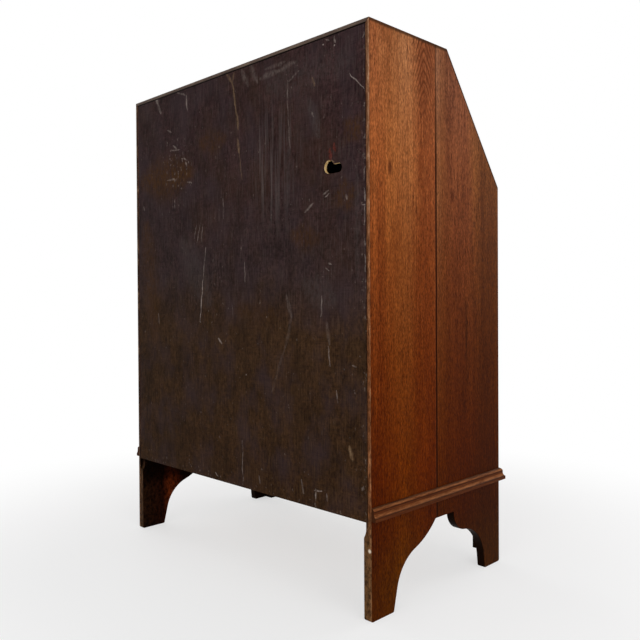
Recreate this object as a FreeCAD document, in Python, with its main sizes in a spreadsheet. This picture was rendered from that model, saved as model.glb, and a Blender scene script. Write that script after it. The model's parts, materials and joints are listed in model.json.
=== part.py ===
import FreeCAD, Part
import math
import os
import re

import Sketcher

# Oak writing bureau: two gables on ogee bracket feet, a mitred top, a sloping fall that opens onto
# two lopers, a stationery fitting behind it and three long dovetailed drawers below.
# Millimetres, +Z up, the drawers face -Y, the origin is on the floor under the middle of the bureau.
# Left and right are those of a person sitting at the bureau.

V = FreeCAD.Vector
LEFT, RIGHT = -1, 1
SIDE_NAMES = {LEFT: "left", RIGHT: "right"}

SIZES = {
    # carcase
    "carcase_width": 762,
    "carcase_depth": 416,
    "carcase_height": 1048,
    "board": 18,
    "top_depth": 231,
    "slope_rise": 250,
    "gable_seam": 192,
    "seam_gap": 0.8,
    "tongue": 6,
    "housing": 6,
    "glue_block": 16,
    "glue_block_foot": 33,
    # bracket feet and the arch cut between them; an ogee's ankle and middle are shares of its span
    # in from the foot and of its rise from the floor
    "arch_height": 141,
    "foot_ease": 4,
    "rear_foot": 62,
    "rear_ogee_span": 126,
    "rear_ankle_in": 0.075,
    "rear_ankle_up": 0.3,
    "rear_middle_in": 0.5,
    "rear_middle_up": 0.71,
    "front_foot": 57,
    "apron_foot": 44,
    "front_ogee_span": 111,
    "front_ankle_in": 0.025,
    "front_ankle_up": 0.2,
    "front_middle_in": 0.66,
    "front_middle_up": 0.695,
    # back panel
    "panel_thickness": 6,
    "panel_rebate": 9.5,
    "panel_gap": 0.9,
    "panel_foot": 172.5,
    "rebate_foot": 145,
    "rebate_runout": 13,
    "cable_slot_length": 44.5,
    "cable_slot_height": 17,
    "cable_boring": 24,
    "cable_boring_lift": 4,
    "cable_slot_inset": 87.2,
    "cable_slot_rise": 22.5,
    # base moulding and apron
    "moulding_foot": 176,
    "moulding_height": 24,
    "moulding_reach": 10,
    "moulding_fillet": 6.5,
    "moulding_quirk": 1.2,
    "apron_thickness": 18,
    # inner boards
    "bottom_thickness": 18,
    "desk_drop": 22,
    "desk_thickness": 18,
    "rail_thickness": 18,
    "rail_depth": 70,
    "runner_width": 22,
    "middle_drawer_taller": 54,
    "bottom_drawer_taller": 75,
    "drawer_stop_width": 40,
    "drawer_stop_depth": 8,
    "drawer_stop_height": 5,
    # fall
    "fall_thickness": 18,
    "fall_gap": 1,
    "fall_side_gap": 1,
    "fall_rest": 0.3,
    "top_lip": 12,
    "cleat_width": 60,
    "stop_height": 14,
    "stop_width": 26,
    # fall hinges
    "hinge_inset": 122,
    "hinge_length": 64,
    "hinge_leaf": 26,
    "hinge_leaf_thickness": 2,
    "knuckle_radius": 4,
    "hinge_pin_radius": 1.75,
    "hinge_gap": 0.4,
    "running_gap": 0.05,
    # fall lock
    "lock_width": 64,
    "lock_height": 40,
    "lock_thickness": 12,
    "bolt_width": 30,
    "bolt_thickness": 4,
    "bolt_length": 20,
    "bolt_throw": 8,
    "key_radius": 2.5,
    "key_bit": 5,
    "key_reach": 16,
    "key_bow": 10,
    "escutcheon_width": 20,
    "escutcheon_height": 34,
    "escutcheon_thickness": 1.5,
    # lopers
    "loper_width": 22,
    "loper_clear": 70,
    "loper_gap": 0.3,
    "loper_travel": 250,
    "loper_peg_radius": 4,
    "loper_peg_reach": 5,
    "loper_peg_inset": 25,
    "partition": 16,
    # long drawers
    "drawer_gap": 1.2,
    "run_gap": 0.3,
    "drawer_front": 20,
    "drawer_side": 10,
    "drawer_back": 10,
    "drawer_floor": 5,
    "drawer_clear": 30,
    "drawer_groove": 5,
    "dovetail_lap": 5,
    "side_drop": 6,
    # brass handles
    "handle_inset": 118,
    "handle_reach": 20,
    "handle_posts": 33,
    "bail_radius": 2.4,
    "bail_drop": 25,
    "bail_bend": 7,
    "post_head": 5,
    "post_neck": 3.6,
    "post_shank": 2.5,
    "plate_thickness": 2,
    "plate_height": 34,
    "knob_radius": 7,
    "knob_reach": 15,
    # stationery fitting
    "shelf_depth": 182,
    "shelf_thickness": 10,
    "tier_height": 78,
    "divider": 8,
    "divider_housing": 3,
    "divider_depth": 168,
    "divider_top_depth": 132,
    "tray_width": 236,
    "tray_front": 12,
    "tray_side": 7,
    "tray_floor": 4,
    "tray_clear": 4,
    "tray_groove": 3,
    "tray_lap": 4,
}

doc = FreeCAD.newDocument("writing_bureau")
sheet = doc.addObject("Spreadsheet::Sheet", "Dim")
for row, (alias, value) in enumerate(SIZES.items(), start=1):
    sheet.set(f"A{row}", alias)
    sheet.set(f"B{row}", str(value))
    sheet.setAlias(f"B{row}", alias)
doc.recompute()

# Places worked out from the driving sizes, as expressions
REAR = "((carcase_depth + handle_reach) / 2)"
FRONT = "((handle_reach - carcase_depth) / 2)"
OUTER = "(carcase_width / 2)"
INNER = "(carcase_width / 2 - board)"
PANEL_FACE = f"({REAR} - panel_thickness)"
RUN = "(carcase_depth - top_depth)"
SLOPE_FOOT = "(carcase_height - slope_rise)"
SLOPE = f"atan(slope_rise / {RUN})"
SIN = f"sin({SLOPE})"
COS = f"cos({SLOPE})"
TOP_FRONT = f"({REAR} - top_depth)"
TOP_UNDERSIDE = "(carcase_height - board)"
FLOOR_TOP = "(moulding_foot + moulding_height)"
DESK = f"({SLOPE_FOOT} - desk_drop)"
DESK_UNDERSIDE = f"({DESK} - desk_thickness)"
DRAWER_SPACE = f"({DESK_UNDERSIDE} - {FLOOR_TOP} - 2 * rail_thickness)"
TOP_OPENING = f"(({DRAWER_SPACE} - middle_drawer_taller - bottom_drawer_taller) / 3)"
LOWER_RAIL = f"({FLOOR_TOP} + {TOP_OPENING} + bottom_drawer_taller)"
MIDDLE_FLOOR = f"({LOWER_RAIL} + rail_thickness)"
UPPER_RAIL = f"({MIDDLE_FLOOR} + {TOP_OPENING} + middle_drawer_taller)"
TOP_FLOOR = f"({UPPER_RAIL} + rail_thickness)"
LOPER_TOP = f"({DESK} - max(desk_thickness; fall_thickness) - loper_gap)"
LOPER_END = f"({PANEL_FACE} - loper_clear)"
BAY = "(loper_width + 2 * loper_gap)"
TOP_DRAWER_HALF = f"({INNER} - {BAY} - partition - drawer_gap)"
HANDLE_X = f"({TOP_DRAWER_HALF} - handle_inset)"
SHELF_FOOT = f"({DESK} + tier_height)"
SHELF_TOP = f"({SHELF_FOOT} + shelf_thickness)"

# The fall's own frame has its origin on the hinge pins, y up the slope and z out of the slope
SETBACK = f"((fall_thickness - desk_drop * {COS}) / {SIN})"
HINGE_Y = f"({FRONT} + {SETBACK})"
KINK = f"(desk_drop * {SIN} - {SETBACK} * {COS})"
FALL_LENGTH = f"({KINK} + sqrt({RUN}^2 + slope_rise^2) - top_lip - fall_gap)"
FALL_HALF = f"({INNER} - fall_side_gap)"
KEY_Y = f"({FALL_LENGTH} - bolt_length - key_bit - key_radius - fall_rest)"


def dim(expression):
    """The expression with every driving size written as a cell of the sheet."""
    return re.sub(r"[a-z]\w*", lambda m: "Dim." + m[0] if m[0] in SIZES else m[0], expression)


def size(expression):
    """The number that an expression of driving sizes comes to."""
    value = sheet.evalExpression(dim(expression))
    return float(getattr(value, "Value", value))


def bind(thing, **expressions):
    """Binds properties of an object to expressions; a double underscore stands for a dot."""
    for name, expression in expressions.items():
        thing.setExpression(name.replace("__", "."), dim(expression))
    return thing


def seat(thing, x="0", y="0", z="0", axis=None, angle="0"):
    """Binds where an object stands, and how far it is turned about an axis."""
    if axis is not None:
        thing.Placement = FreeCAD.Placement(V(0, 0, 0), FreeCAD.Rotation(V(*axis), 10))
        bind(thing, Placement__Rotation__Angle=angle)
    return bind(thing, Placement__Base__x=x, Placement__Base__y=y, Placement__Base__z=z)


def on_fall(thing, x, y, z):
    """Seats an object at a point of the fall's own frame, turned to the slope."""
    global_y = f"{HINGE_Y} + ({y}) * {COS} - ({z}) * {SIN}"
    global_z = f"{DESK} + ({y}) * {SIN} + ({z}) * {COS}"
    return seat(thing, x, global_y, global_z, (1, 0, 0), SLOPE)


def slab(name, x, y, z, tilted=False):
    """A box between the bounds x, y and z, in the bureau's frame or the fall's."""
    box = doc.addObject("Part::Box", name)
    for side, (low, high) in zip(("Length", "Width", "Height"), (x, y, z)):
        bind(box, **{side: f"({high}) - ({low})"})
    corner = [low for low, high in (x, y, z)]
    return on_fall(box, *corner) if tilted else seat(box, *corner)


def rod(name, radius, length, x, y, z, axis=None, angle="0"):
    """A cylinder of that length from a point, along +Z until it is turned."""
    cylinder = bind(doc.addObject("Part::Cylinder", name), Radius=radius, Height=length)
    return seat(cylinder, x, y, z, axis, angle)


def cross_rod(name, radius, low, high, y, z):
    """A cylinder along X between two bounds."""
    return rod(name, radius, f"({high}) - ({low})", low, y, z, (0, 1, 0), "90")


def tilted_rod(name, radius, x, y, low, high):
    """A cylinder square to the fall, between two depths of its frame."""
    cylinder = bind(doc.addObject("Part::Cylinder", name), Radius=radius, Height=f"({high}) - ({low})")
    return on_fall(cylinder, x, y, low)


def fused(name, members):
    """Solids glued or made in one."""
    joined = doc.addObject("Part::MultiFuse", name)
    joined.Shapes = members
    return joined


def group(name, members):
    """Separate solids that share one node."""
    several = doc.addObject("Part::Compound", name)
    several.Links = members
    return several


def cut(name, base, tools):
    """A solid with the room for others cut out of it."""
    rest = doc.addObject("Part::Cut", name)
    rest.Base = base
    rest.Tool = tools[0] if len(tools) == 1 else fused(name + "_room", tools)
    return rest


def common(name, first, second):
    """What two solids share."""
    shared = doc.addObject("Part::MultiCommon", name)
    shared.Shapes = [first, second]
    return shared


def plane_of(body, role):
    return next(plane for plane in body.Origin.OriginFeatures if plane.Role == role)


def arc_through(start, end, radius, turn):
    """The arc of under half a circle from start to end that turns left (1) or right (-1)."""
    chord = end - start
    rise = math.sqrt(max(radius**2 - chord.Length**2 / 4, 0))
    centre = (start + end) / 2 + V(-chord.y, chord.x, 0).normalize() * rise * turn
    first, last = (start, end) if turn > 0 else (end, start)
    angles = [math.atan2(p.y - centre.y, p.x - centre.x) for p in (first, last)]
    return Part.ArcOfCircle(Part.Circle(centre, V(0, 0, 1), radius), *angles)


def tangent_arc(start, end, heading):
    """The arc from start to end that leaves start along a heading, with the heading that it ends on."""
    chord = end - start
    lean = math.atan2(chord.y, chord.x) - math.atan2(heading.y, heading.x)
    radius = abs(chord.Length / (2 * math.sin(lean)))
    turn = 1 if math.sin(lean) > 0 else -1
    leaving = math.atan2(chord.y, chord.x) + lean
    return arc_through(start, end, radius, turn), turn, V(math.cos(leaving), math.sin(leaving), 0)


def outline(body, name, role, corners, closed=True):
    """A sketch through corners (u, v, bend), each bound to its expressions. The bend of the stretch that
    leaves a corner is missing for a straight line, "tangent", or (radius, turn) for an arc."""
    sketch = body.newObject("Sketcher::SketchObject", name)
    sketch.AttachmentSupport = [(plane_of(body, role), "")]
    sketch.MapMode = "FlatFace"
    places = [V(size(corner[0]), size(corner[1]), 0) for corner in corners]
    count = len(corners) if closed else len(corners) - 1
    ends, bends, heading = [], [], None
    for i in range(count):
        start, end = places[i], places[(i + 1) % len(places)]
        bend = corners[i][2] if len(corners[i]) > 2 else None
        turn = 1
        if bend is None:
            edge, heading = Part.LineSegment(start, end), end - start
        elif bend == "tangent":
            edge, turn, heading = tangent_arc(start, end, heading)
        else:
            edge, turn = arc_through(start, end, size(bend[0]), bend[1]), bend[1]
        sketch.addGeometry(edge, False)
        ends.append((1, 2) if turn > 0 else (2, 1))
        bends.append(bend)
    for i in range(count if closed else count - 1):
        j = (i + 1) % count
        kind = "Tangent" if bends[j] == "tangent" else "Coincident"
        sketch.addConstraint(Sketcher.Constraint(kind, i, ends[i][1], j, ends[j][0]))
    for i, corner in enumerate(corners):
        edge, end = (i, ends[i][0]) if i < count else (i - 1, ends[i - 1][1])
        for kind, expression, number in zip(("DistanceX", "DistanceY"), corner, places[i]):
            held = sketch.addConstraint(Sketcher.Constraint(kind, -1, 1, edge, end, number))
            sketch.setExpression(f"Constraints[{held}]", dim(expression))
    for i, bend in enumerate(bends):
        chord = places[(i + 1) % len(places)] - places[i]
        # Half a circle has its radius from its two ends
        if isinstance(bend, tuple) and abs(size(bend[0]) - chord.Length / 2) > 1e-6:
            held = sketch.addConstraint(Sketcher.Constraint("Radius", i, size(bend[0])))
            sketch.setExpression(f"Constraints[{held}]", dim(bend[0]))
    return sketch


def prism(name, role, corners, low, high):
    """An outline on an origin plane, padded between two bounds along the plane's axis."""
    body = doc.addObject("PartDesign::Body", name)
    sketch = outline(body, name + "_outline", role, corners)
    # The XZ plane's own normal points along -Y
    bind(sketch, AttachmentOffset__Base__z=f"-({high})" if role == "XZ_Plane" else low)
    pad = body.newObject("PartDesign::Pad", name + "_pad")
    pad.Profile = sketch
    bind(pad, Length=f"({high}) - ({low})")
    return body


def turned(name, corners):
    """A turned piece: an outline on the XZ plane, spun about Z."""
    body = doc.addObject("PartDesign::Body", name)
    sketch = outline(body, name + "_outline", "XZ_Plane", corners)
    spin = body.newObject("PartDesign::Revolution", name + "_turning")
    spin.Profile = sketch
    spin.ReferenceAxis = (sketch, ["V_Axis"])
    spin.Angle = 360
    return body


def across(half):
    """The bounds of a piece that is centred on the middle of the bureau."""
    return f"-({half})", half


def sided(side, near, far):
    """The bounds in X of a piece on one side, from distances off the middle."""
    return (f"-({far})", f"-({near})") if side == LEFT else (near, far)


pieces = {}


def piece(label, thing):
    """Names a finished piece of the bureau."""
    thing.Label = label
    pieces[label] = thing
    return thing


# Top board: mitred to the gables, its front edge cut to the slope and hooked over the fall, its rear
# edge rebated for the back panel
hook = f"((board - top_lip * {SIN}) / {COS})"
top_section = prism(
    "top_section",
    "YZ_Plane",
    [
        (TOP_FRONT, "carcase_height"),
        (f"{TOP_FRONT} - top_lip * {COS}", f"carcase_height - top_lip * {SIN}"),
        (f"{TOP_FRONT} - top_lip * {COS} + {hook} * {SIN}", TOP_UNDERSIDE),
        (PANEL_FACE, TOP_UNDERSIDE),
        (PANEL_FACE, f"{TOP_UNDERSIDE} + panel_rebate"),
        (REAR, f"{TOP_UNDERSIDE} + panel_rebate"),
        (REAR, "carcase_height"),
    ],
    *across(OUTER),
)
top_mitres = prism(
    "top_mitres",
    "XZ_Plane",
    [
        (f"-{OUTER}", "carcase_height"),
        (f"-{INNER}", TOP_UNDERSIDE),
        (INNER, TOP_UNDERSIDE),
        (OUTER, "carcase_height"),
    ],
    FRONT,
    REAR,
)
top_blank = common("top_blank", top_section, top_mitres)

# Inner boards that are housed in the gables
desk_blank = slab(
    "desk_blank", across(f"{INNER} + housing"), (HINGE_Y, PANEL_FACE), (DESK_UNDERSIDE, DESK)
)
bottom_board = slab(
    "bottom_board",
    across(f"{INNER} + housing"),
    (FRONT, PANEL_FACE),
    (f"{FLOOR_TOP} - bottom_thickness", FLOOR_TOP),
)
piece("bottom_board", bottom_board)
rails = [
    slab(
        f"drawer_rail_{level}",
        across(f"{INNER} + housing"),
        (FRONT, f"{FRONT} + rail_depth"),
        (foot, f"{foot} + rail_thickness"),
    )
    for level, foot in (("lower", LOWER_RAIL), ("upper", UPPER_RAIL))
]
piece("drawer_rails", group("drawer_rails", rails))
shelf_blank = slab(
    "shelf_blank",
    across(f"{INNER} + housing"),
    (f"{PANEL_FACE} - shelf_depth", PANEL_FACE),
    (SHELF_FOOT, SHELF_TOP),
)


def foot_arch(name, role, middle, half, feet, low, high):
    """The space between two bracket feet and beyond their worn corners. Each of the feet has its way out
    from the middle, its width and the name of its ogee."""
    halves = []
    for way, foot, ogee in feet:
        def out(distance, way=way):
            return f"{middle} + {way} * ({distance})"

        def inward(share, spring=f"{half} - {foot}", span=f"{ogee}_ogee_span"):
            return out(f"{spring} - {share} * {span}")

        halves.append(prism(
            f"{name}_{'low' if way < 0 else 'high'}",
            role,
            [
                (out("0"), "-board"),
                (out(f"{half} + board"), "-board"),
                (out(f"{half} + board"), "foot_ease"),
                (out(half), "foot_ease", ("foot_ease", -way)),
                (out(f"{half} - foot_ease"), "0"),
                (out(f"{half} - {foot} + foot_ease"), "0", ("foot_ease", -way)),
                (inward("0"), "foot_ease"),
                (inward(f"{ogee}_ankle_in"), f"{ogee}_ankle_up * arch_height", "tangent"),
                (inward(f"{ogee}_middle_in"), f"{ogee}_middle_up * arch_height", "tangent"),
                (inward("1"), "arch_height"),
                (out("0"), "arch_height"),
            ],
            low,
            high,
        ))
    arch = fused(name, halves)
    arch.Refine = True
    return arch


# Gables: two oak boards each, tongued together along an upright seam, cut to the slope above and to
# bracket feet below
SEAM = f"({REAR} - gable_seam)"
TONGUE_X = f"({INNER} + (board - tongue) / 2)"
gable_arch = foot_arch(
    "gable_arch",
    "YZ_Plane",
    f"({FRONT} + {REAR}) / 2",
    "carcase_depth / 2",
    ((1, "rear_foot", "rear"), (-1, "front_foot", "front")),
    *across(f"{OUTER} + board"),
)
slope_room = prism(
    "slope_room",
    "YZ_Plane",
    [
        (FRONT, SLOPE_FOOT),
        (TOP_FRONT, "carcase_height"),
        (TOP_FRONT, "carcase_height + board"),
        (f"{FRONT} - board", "carcase_height + board"),
        (f"{FRONT} - board", SLOPE_FOOT),
    ],
    *across(f"{OUTER} + board"),
)
housings = [gable_arch, slope_room, top_blank, desk_blank, bottom_board, shelf_blank]
for side in (LEFT, RIGHT):
    whose = SIDE_NAMES[side]
    thickness = sided(side, INNER, OUTER)
    length = ("0", "carcase_height")
    rear_blank = slab(f"{whose}_rear_blank", thickness, (SEAM, REAR), length)
    front_blank = slab(f"{whose}_front_blank", thickness, (FRONT, f"{SEAM} - seam_gap"), length)
    seam_tongue = slab(
        f"{whose}_seam_tongue",
        sided(side, TONGUE_X, f"{TONGUE_X} + tongue"),
        (f"{SEAM} - tongue", SEAM),
        length,
    )
    rebate = prism(
        f"{whose}_panel_rebate",
        "YZ_Plane",
        [
            (f"{REAR} + panel_thickness", "carcase_height"),
            (PANEL_FACE, "carcase_height"),
            (PANEL_FACE, "rebate_foot + rebate_runout", "tangent"),
            (REAR, "rebate_foot"),
            (f"{REAR} + panel_thickness", "rebate_foot"),
        ],
        *sided(side, f"{INNER} - panel_gap", f"{INNER} + panel_rebate"),
    )
    tongued = fused(f"{whose}_rear_tongued", [rear_blank, seam_tongue])
    rear_label, front_label = f"gable_{whose}_rear_board", f"gable_{whose}_front_board"
    piece(rear_label, cut(rear_label, tongued, housings + rails + [rebate]))
    piece(front_label, cut(front_label, front_blank, housings + rails + [seam_tongue]))

# Back panel: dark plywood let into the rebates, with a cable slot that runs out of a wider boring
PANEL_HALF = f"({INNER} + panel_rebate - panel_gap)"
SLOT_X = f"(cable_slot_inset - {OUTER})"
SLOT_Z = f"({DESK} + cable_slot_rise)"
panel_blank = slab(
    "panel_blank",
    across(PANEL_HALF),
    (PANEL_FACE, REAR),
    ("panel_foot", f"{TOP_UNDERSIDE} + panel_rebate - panel_gap"),
)
SLOT_END = f"({SLOT_X} - cable_slot_length / 2 + cable_slot_height / 2)"
BORING_X = f"({SLOT_X} + cable_slot_length / 2 - cable_boring / 2)"
slot_borings = [
    rod(
        f"slot_boring_{whose}",
        radius,
        "3 * panel_thickness",
        x,
        f"{REAR} + panel_thickness",
        z,
        (1, 0, 0),
        "90",
    )
    for whose, radius, x, z in (
        ("outer", "cable_slot_height / 2", SLOT_END, SLOT_Z),
        ("inner", "cable_boring / 2", BORING_X, f"{SLOT_Z} + cable_boring_lift"),
    )
]
slot_waist = slab(
    "slot_waist",
    (SLOT_END, BORING_X),
    (f"{PANEL_FACE} - panel_thickness", f"{REAR} + panel_thickness"),
    (f"{SLOT_Z} - cable_slot_height / 2", f"{SLOT_Z} + cable_slot_height / 2"),
)
piece("back_panel", cut("back_panel", panel_blank, slot_borings + [slot_waist]))

# Front apron: a board between the gables with the same ogee as their front feet
APRON_TOP = f"({FLOOR_TOP} - bottom_thickness)"
APRON_BACK = f"({FRONT} + apron_thickness)"
apron_blank = slab("apron_blank", across(INNER), (FRONT, APRON_BACK), ("0", APRON_TOP))
apron_arch = foot_arch(
    "apron_arch",
    "XZ_Plane",
    "0",
    OUTER,
    ((1, "apron_foot", "front"), (-1, "apron_foot", "front")),
    f"{FRONT} - board",
    f"{APRON_BACK} + board",
)
piece("front_apron", cut("front_apron", apron_blank, [apron_arch]))

# Glue blocks: one in each corner behind the front feet, three short ones along the apron
blocks = [
    slab(
        f"foot_block_{SIDE_NAMES[side]}",
        sided(side, f"{INNER} - glue_block", INNER),
        (APRON_BACK, f"{APRON_BACK} + 2 * glue_block"),
        ("glue_block_foot", APRON_TOP),
    )
    for side in (LEFT, RIGHT)
]
blocks += [
    slab(
        f"apron_block_{whose}",
        (f"{place} - 2 * glue_block", f"{place} + 2 * glue_block"),
        (APRON_BACK, f"{APRON_BACK} + glue_block"),
        (f"{APRON_TOP} - glue_block", APRON_TOP),
    )
    for whose, place in (("left", f"-{HANDLE_X}"), ("middle", "0"), ("right", HANDLE_X))
]
piece("glue_blocks", group("glue_blocks", blocks))


# Base moulding: a rounded top and a hollow over a square fillet, mitred at the front corners
def moulding_section(out, turn):
    """The section of the moulding: out gives the place at a distance from the face that it stands on."""
    def up(height):
        return f"moulding_foot + {height}"

    hollow, round_top = ("0.4 * moulding_height", -turn), ("0.35 * moulding_height", turn)
    return [
        (out("0"), up("0")),
        (out("moulding_reach"), up("0")),
        (out("moulding_reach"), up("moulding_fillet")),
        (out("0.86 * moulding_reach"), up("moulding_fillet + moulding_quirk"), hollow),
        (out("0.6 * moulding_reach"), up("0.57 * moulding_height")),
        (out("0.6 * moulding_reach"), up("0.76 * moulding_height"), round_top),
        (out("0.08 * moulding_reach"), up("moulding_height")),
        (out("0"), up("moulding_height")),
    ]


def front_out(distance):
    return f"{FRONT} - {distance}"


front_length = prism(
    "front_moulding_length",
    "YZ_Plane",
    moulding_section(front_out, -1),
    *across(f"{OUTER} + moulding_reach"),
)
front_mitres = prism(
    "front_moulding_mitres",
    "XY_Plane",
    [
        (f"-{OUTER}", FRONT),
        (f"-{OUTER} - moulding_reach", front_out("moulding_reach")),
        (f"{OUTER} + moulding_reach", front_out("moulding_reach")),
        (OUTER, FRONT),
    ],
    "moulding_foot",
    FLOOR_TOP,
)
piece("base_moulding_front", common("base_moulding_front", front_length, front_mitres))
for side in (LEFT, RIGHT):
    whose = SIDE_NAMES[side]
    sign = "-" if side == LEFT else ""

    def side_out(distance, sign=sign):
        return f"{sign}({OUTER} + {distance})"

    side_length = prism(
        f"{whose}_moulding_length",
        "XZ_Plane",
        moulding_section(side_out, side),
        front_out("moulding_reach"),
        REAR,
    )
    side_mitre = prism(
        f"{whose}_moulding_mitre",
        "XY_Plane",
        [
            (side_out("0"), FRONT),
            (side_out("moulding_reach"), front_out("moulding_reach")),
            (side_out("moulding_reach"), REAR),
            (side_out("0"), REAR),
        ],
        "moulding_foot",
        FLOOR_TOP,
    )
    label = f"base_moulding_{whose}"
    piece(label, common(label, side_length, side_mitre))

# Drawer runners behind the rails; the upper pair also carries the lopers and their partitions
RUNNER_UPPER = f"({BAY} + partition + runner_width)"
runners = [
    slab(
        f"runner_{level}_{SIDE_NAMES[side]}",
        sided(side, f"{INNER} - {width}", INNER),
        (f"{FRONT} + rail_depth", PANEL_FACE),
        (foot, f"{foot} + rail_thickness"),
    )
    for level, foot, width in (("lower", LOWER_RAIL, "runner_width"), ("upper", UPPER_RAIL, RUNNER_UPPER))
    for side in (LEFT, RIGHT)
]
piece("drawer_runners", group("drawer_runners", runners))

# Drawer stops: small blocks behind the drawer fronts that bring them up flush
stops = [
    slab(
        f"drawer_stop_{level}_{whose}",
        (f"{place} - drawer_stop_width / 2", f"{place} + drawer_stop_width / 2"),
        (f"{FRONT} + drawer_front + run_gap", f"{FRONT} + drawer_front + run_gap + drawer_stop_depth"),
        (floor, f"{floor} + drawer_stop_height"),
    )
    for level, floor in (("bottom", FLOOR_TOP), ("middle", MIDDLE_FLOOR), ("top", TOP_FLOOR))
    for whose, place in (("left", f"-{HANDLE_X}"), ("right", HANDLE_X))
]
piece("drawer_stops", group("drawer_stops", stops))

# Upright partitions between the lopers and the top drawer, each grooved for its loper's peg
PEG_Y = f"({LOPER_END} - loper_peg_inset)"
PEG_Z = f"(({TOP_FLOOR} + {LOPER_TOP}) / 2)"
PEG_ROOM = "(loper_peg_radius + run_gap)"
fall_end_room = slab("fall_end_room", across(INNER), (f"{FRONT} - board", HINGE_Y), (LOPER_TOP, DESK))
partitions = []
for side in (LEFT, RIGHT):
    whose = SIDE_NAMES[side]
    partition_blank = slab(
        f"loper_partition_{whose}_blank",
        sided(side, f"{INNER} - {BAY} - partition", f"{INNER} - {BAY}"),
        (FRONT, PANEL_FACE),
        (TOP_FLOOR, DESK_UNDERSIDE),
    )
    peg_groove = slab(
        f"loper_groove_{whose}",
        sided(side, f"{INNER} - {BAY} - loper_peg_reach - run_gap", INNER),
        (f"{PEG_Y} - loper_travel - {PEG_ROOM}", f"{PEG_Y} + {PEG_ROOM}"),
        (f"{PEG_Z} - {PEG_ROOM}", f"{PEG_Z} + {PEG_ROOM}"),
    )
    partitions.append(cut(f"loper_partition_{whose}", partition_blank, [fall_end_room, peg_groove]))
piece("loper_partitions", group("loper_partitions", partitions))

# Stationery fitting: two low partitions that hold a tray drawer, a shelf, and shaped dividers above
TRAY_HALF = "(tray_width / 2)"
low_partitions = [
    slab(
        f"tray_partition_{SIDE_NAMES[side]}",
        sided(side, TRAY_HALF, f"{TRAY_HALF} + divider"),
        (f"{PANEL_FACE} - divider_depth", PANEL_FACE),
        (f"{DESK} - divider_housing", f"{SHELF_FOOT} + divider_housing"),
    )
    for side in (LEFT, RIGHT)
]
piece("tray_partitions", group("tray_partitions", low_partitions))
divider_foot = f"({SHELF_TOP} - divider_housing)"
divider_head = f"({TOP_UNDERSIDE} + divider_housing)"
dividers = [
    prism(
        f"divider_{whose}",
        "YZ_Plane",
        [
            (PANEL_FACE, divider_foot),
            (PANEL_FACE, divider_head),
            (f"{PANEL_FACE} - divider_top_depth", divider_head),
            (f"{PANEL_FACE} - divider_top_depth", TOP_UNDERSIDE, (f"{TOP_UNDERSIDE} - {SHELF_TOP}", -1)),
            (f"{PANEL_FACE} - divider_depth", SHELF_TOP),
            (f"{PANEL_FACE} - divider_depth", divider_foot),
        ],
        f"({place}) - divider / 2",
        f"({place}) + divider / 2",
    )
    for whose, place in (("left", f"-{INNER} / 2"), ("middle", "0"), ("right", f"{INNER} / 2"))
]
piece("pigeonhole_dividers", group("pigeonhole_dividers", dividers))
piece("stationery_shelf", cut("stationery_shelf", shelf_blank, low_partitions + dividers))

# Fall stop: a strip under the top board that the closed fall leans on
def stop_face(drop):
    """Where the strip's sloping face is, that far below the top of the bureau."""
    return f"{TOP_FRONT} + (fall_thickness + fall_rest) / {SIN} - ({drop}) * {COS} / {SIN}"


stop_foot = "(board + stop_height)"
fall_stop = prism(
    "fall_stop",
    "YZ_Plane",
    [
        (stop_face("board"), TOP_UNDERSIDE),
        (stop_face(stop_foot), f"carcase_height - {stop_foot}"),
        (f"{stop_face('board')} + stop_width", f"carcase_height - {stop_foot}"),
        (f"{stop_face('board')} + stop_width", TOP_UNDERSIDE),
    ],
    *across(INNER),
)
piece("fall_stop", fall_stop)

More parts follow.
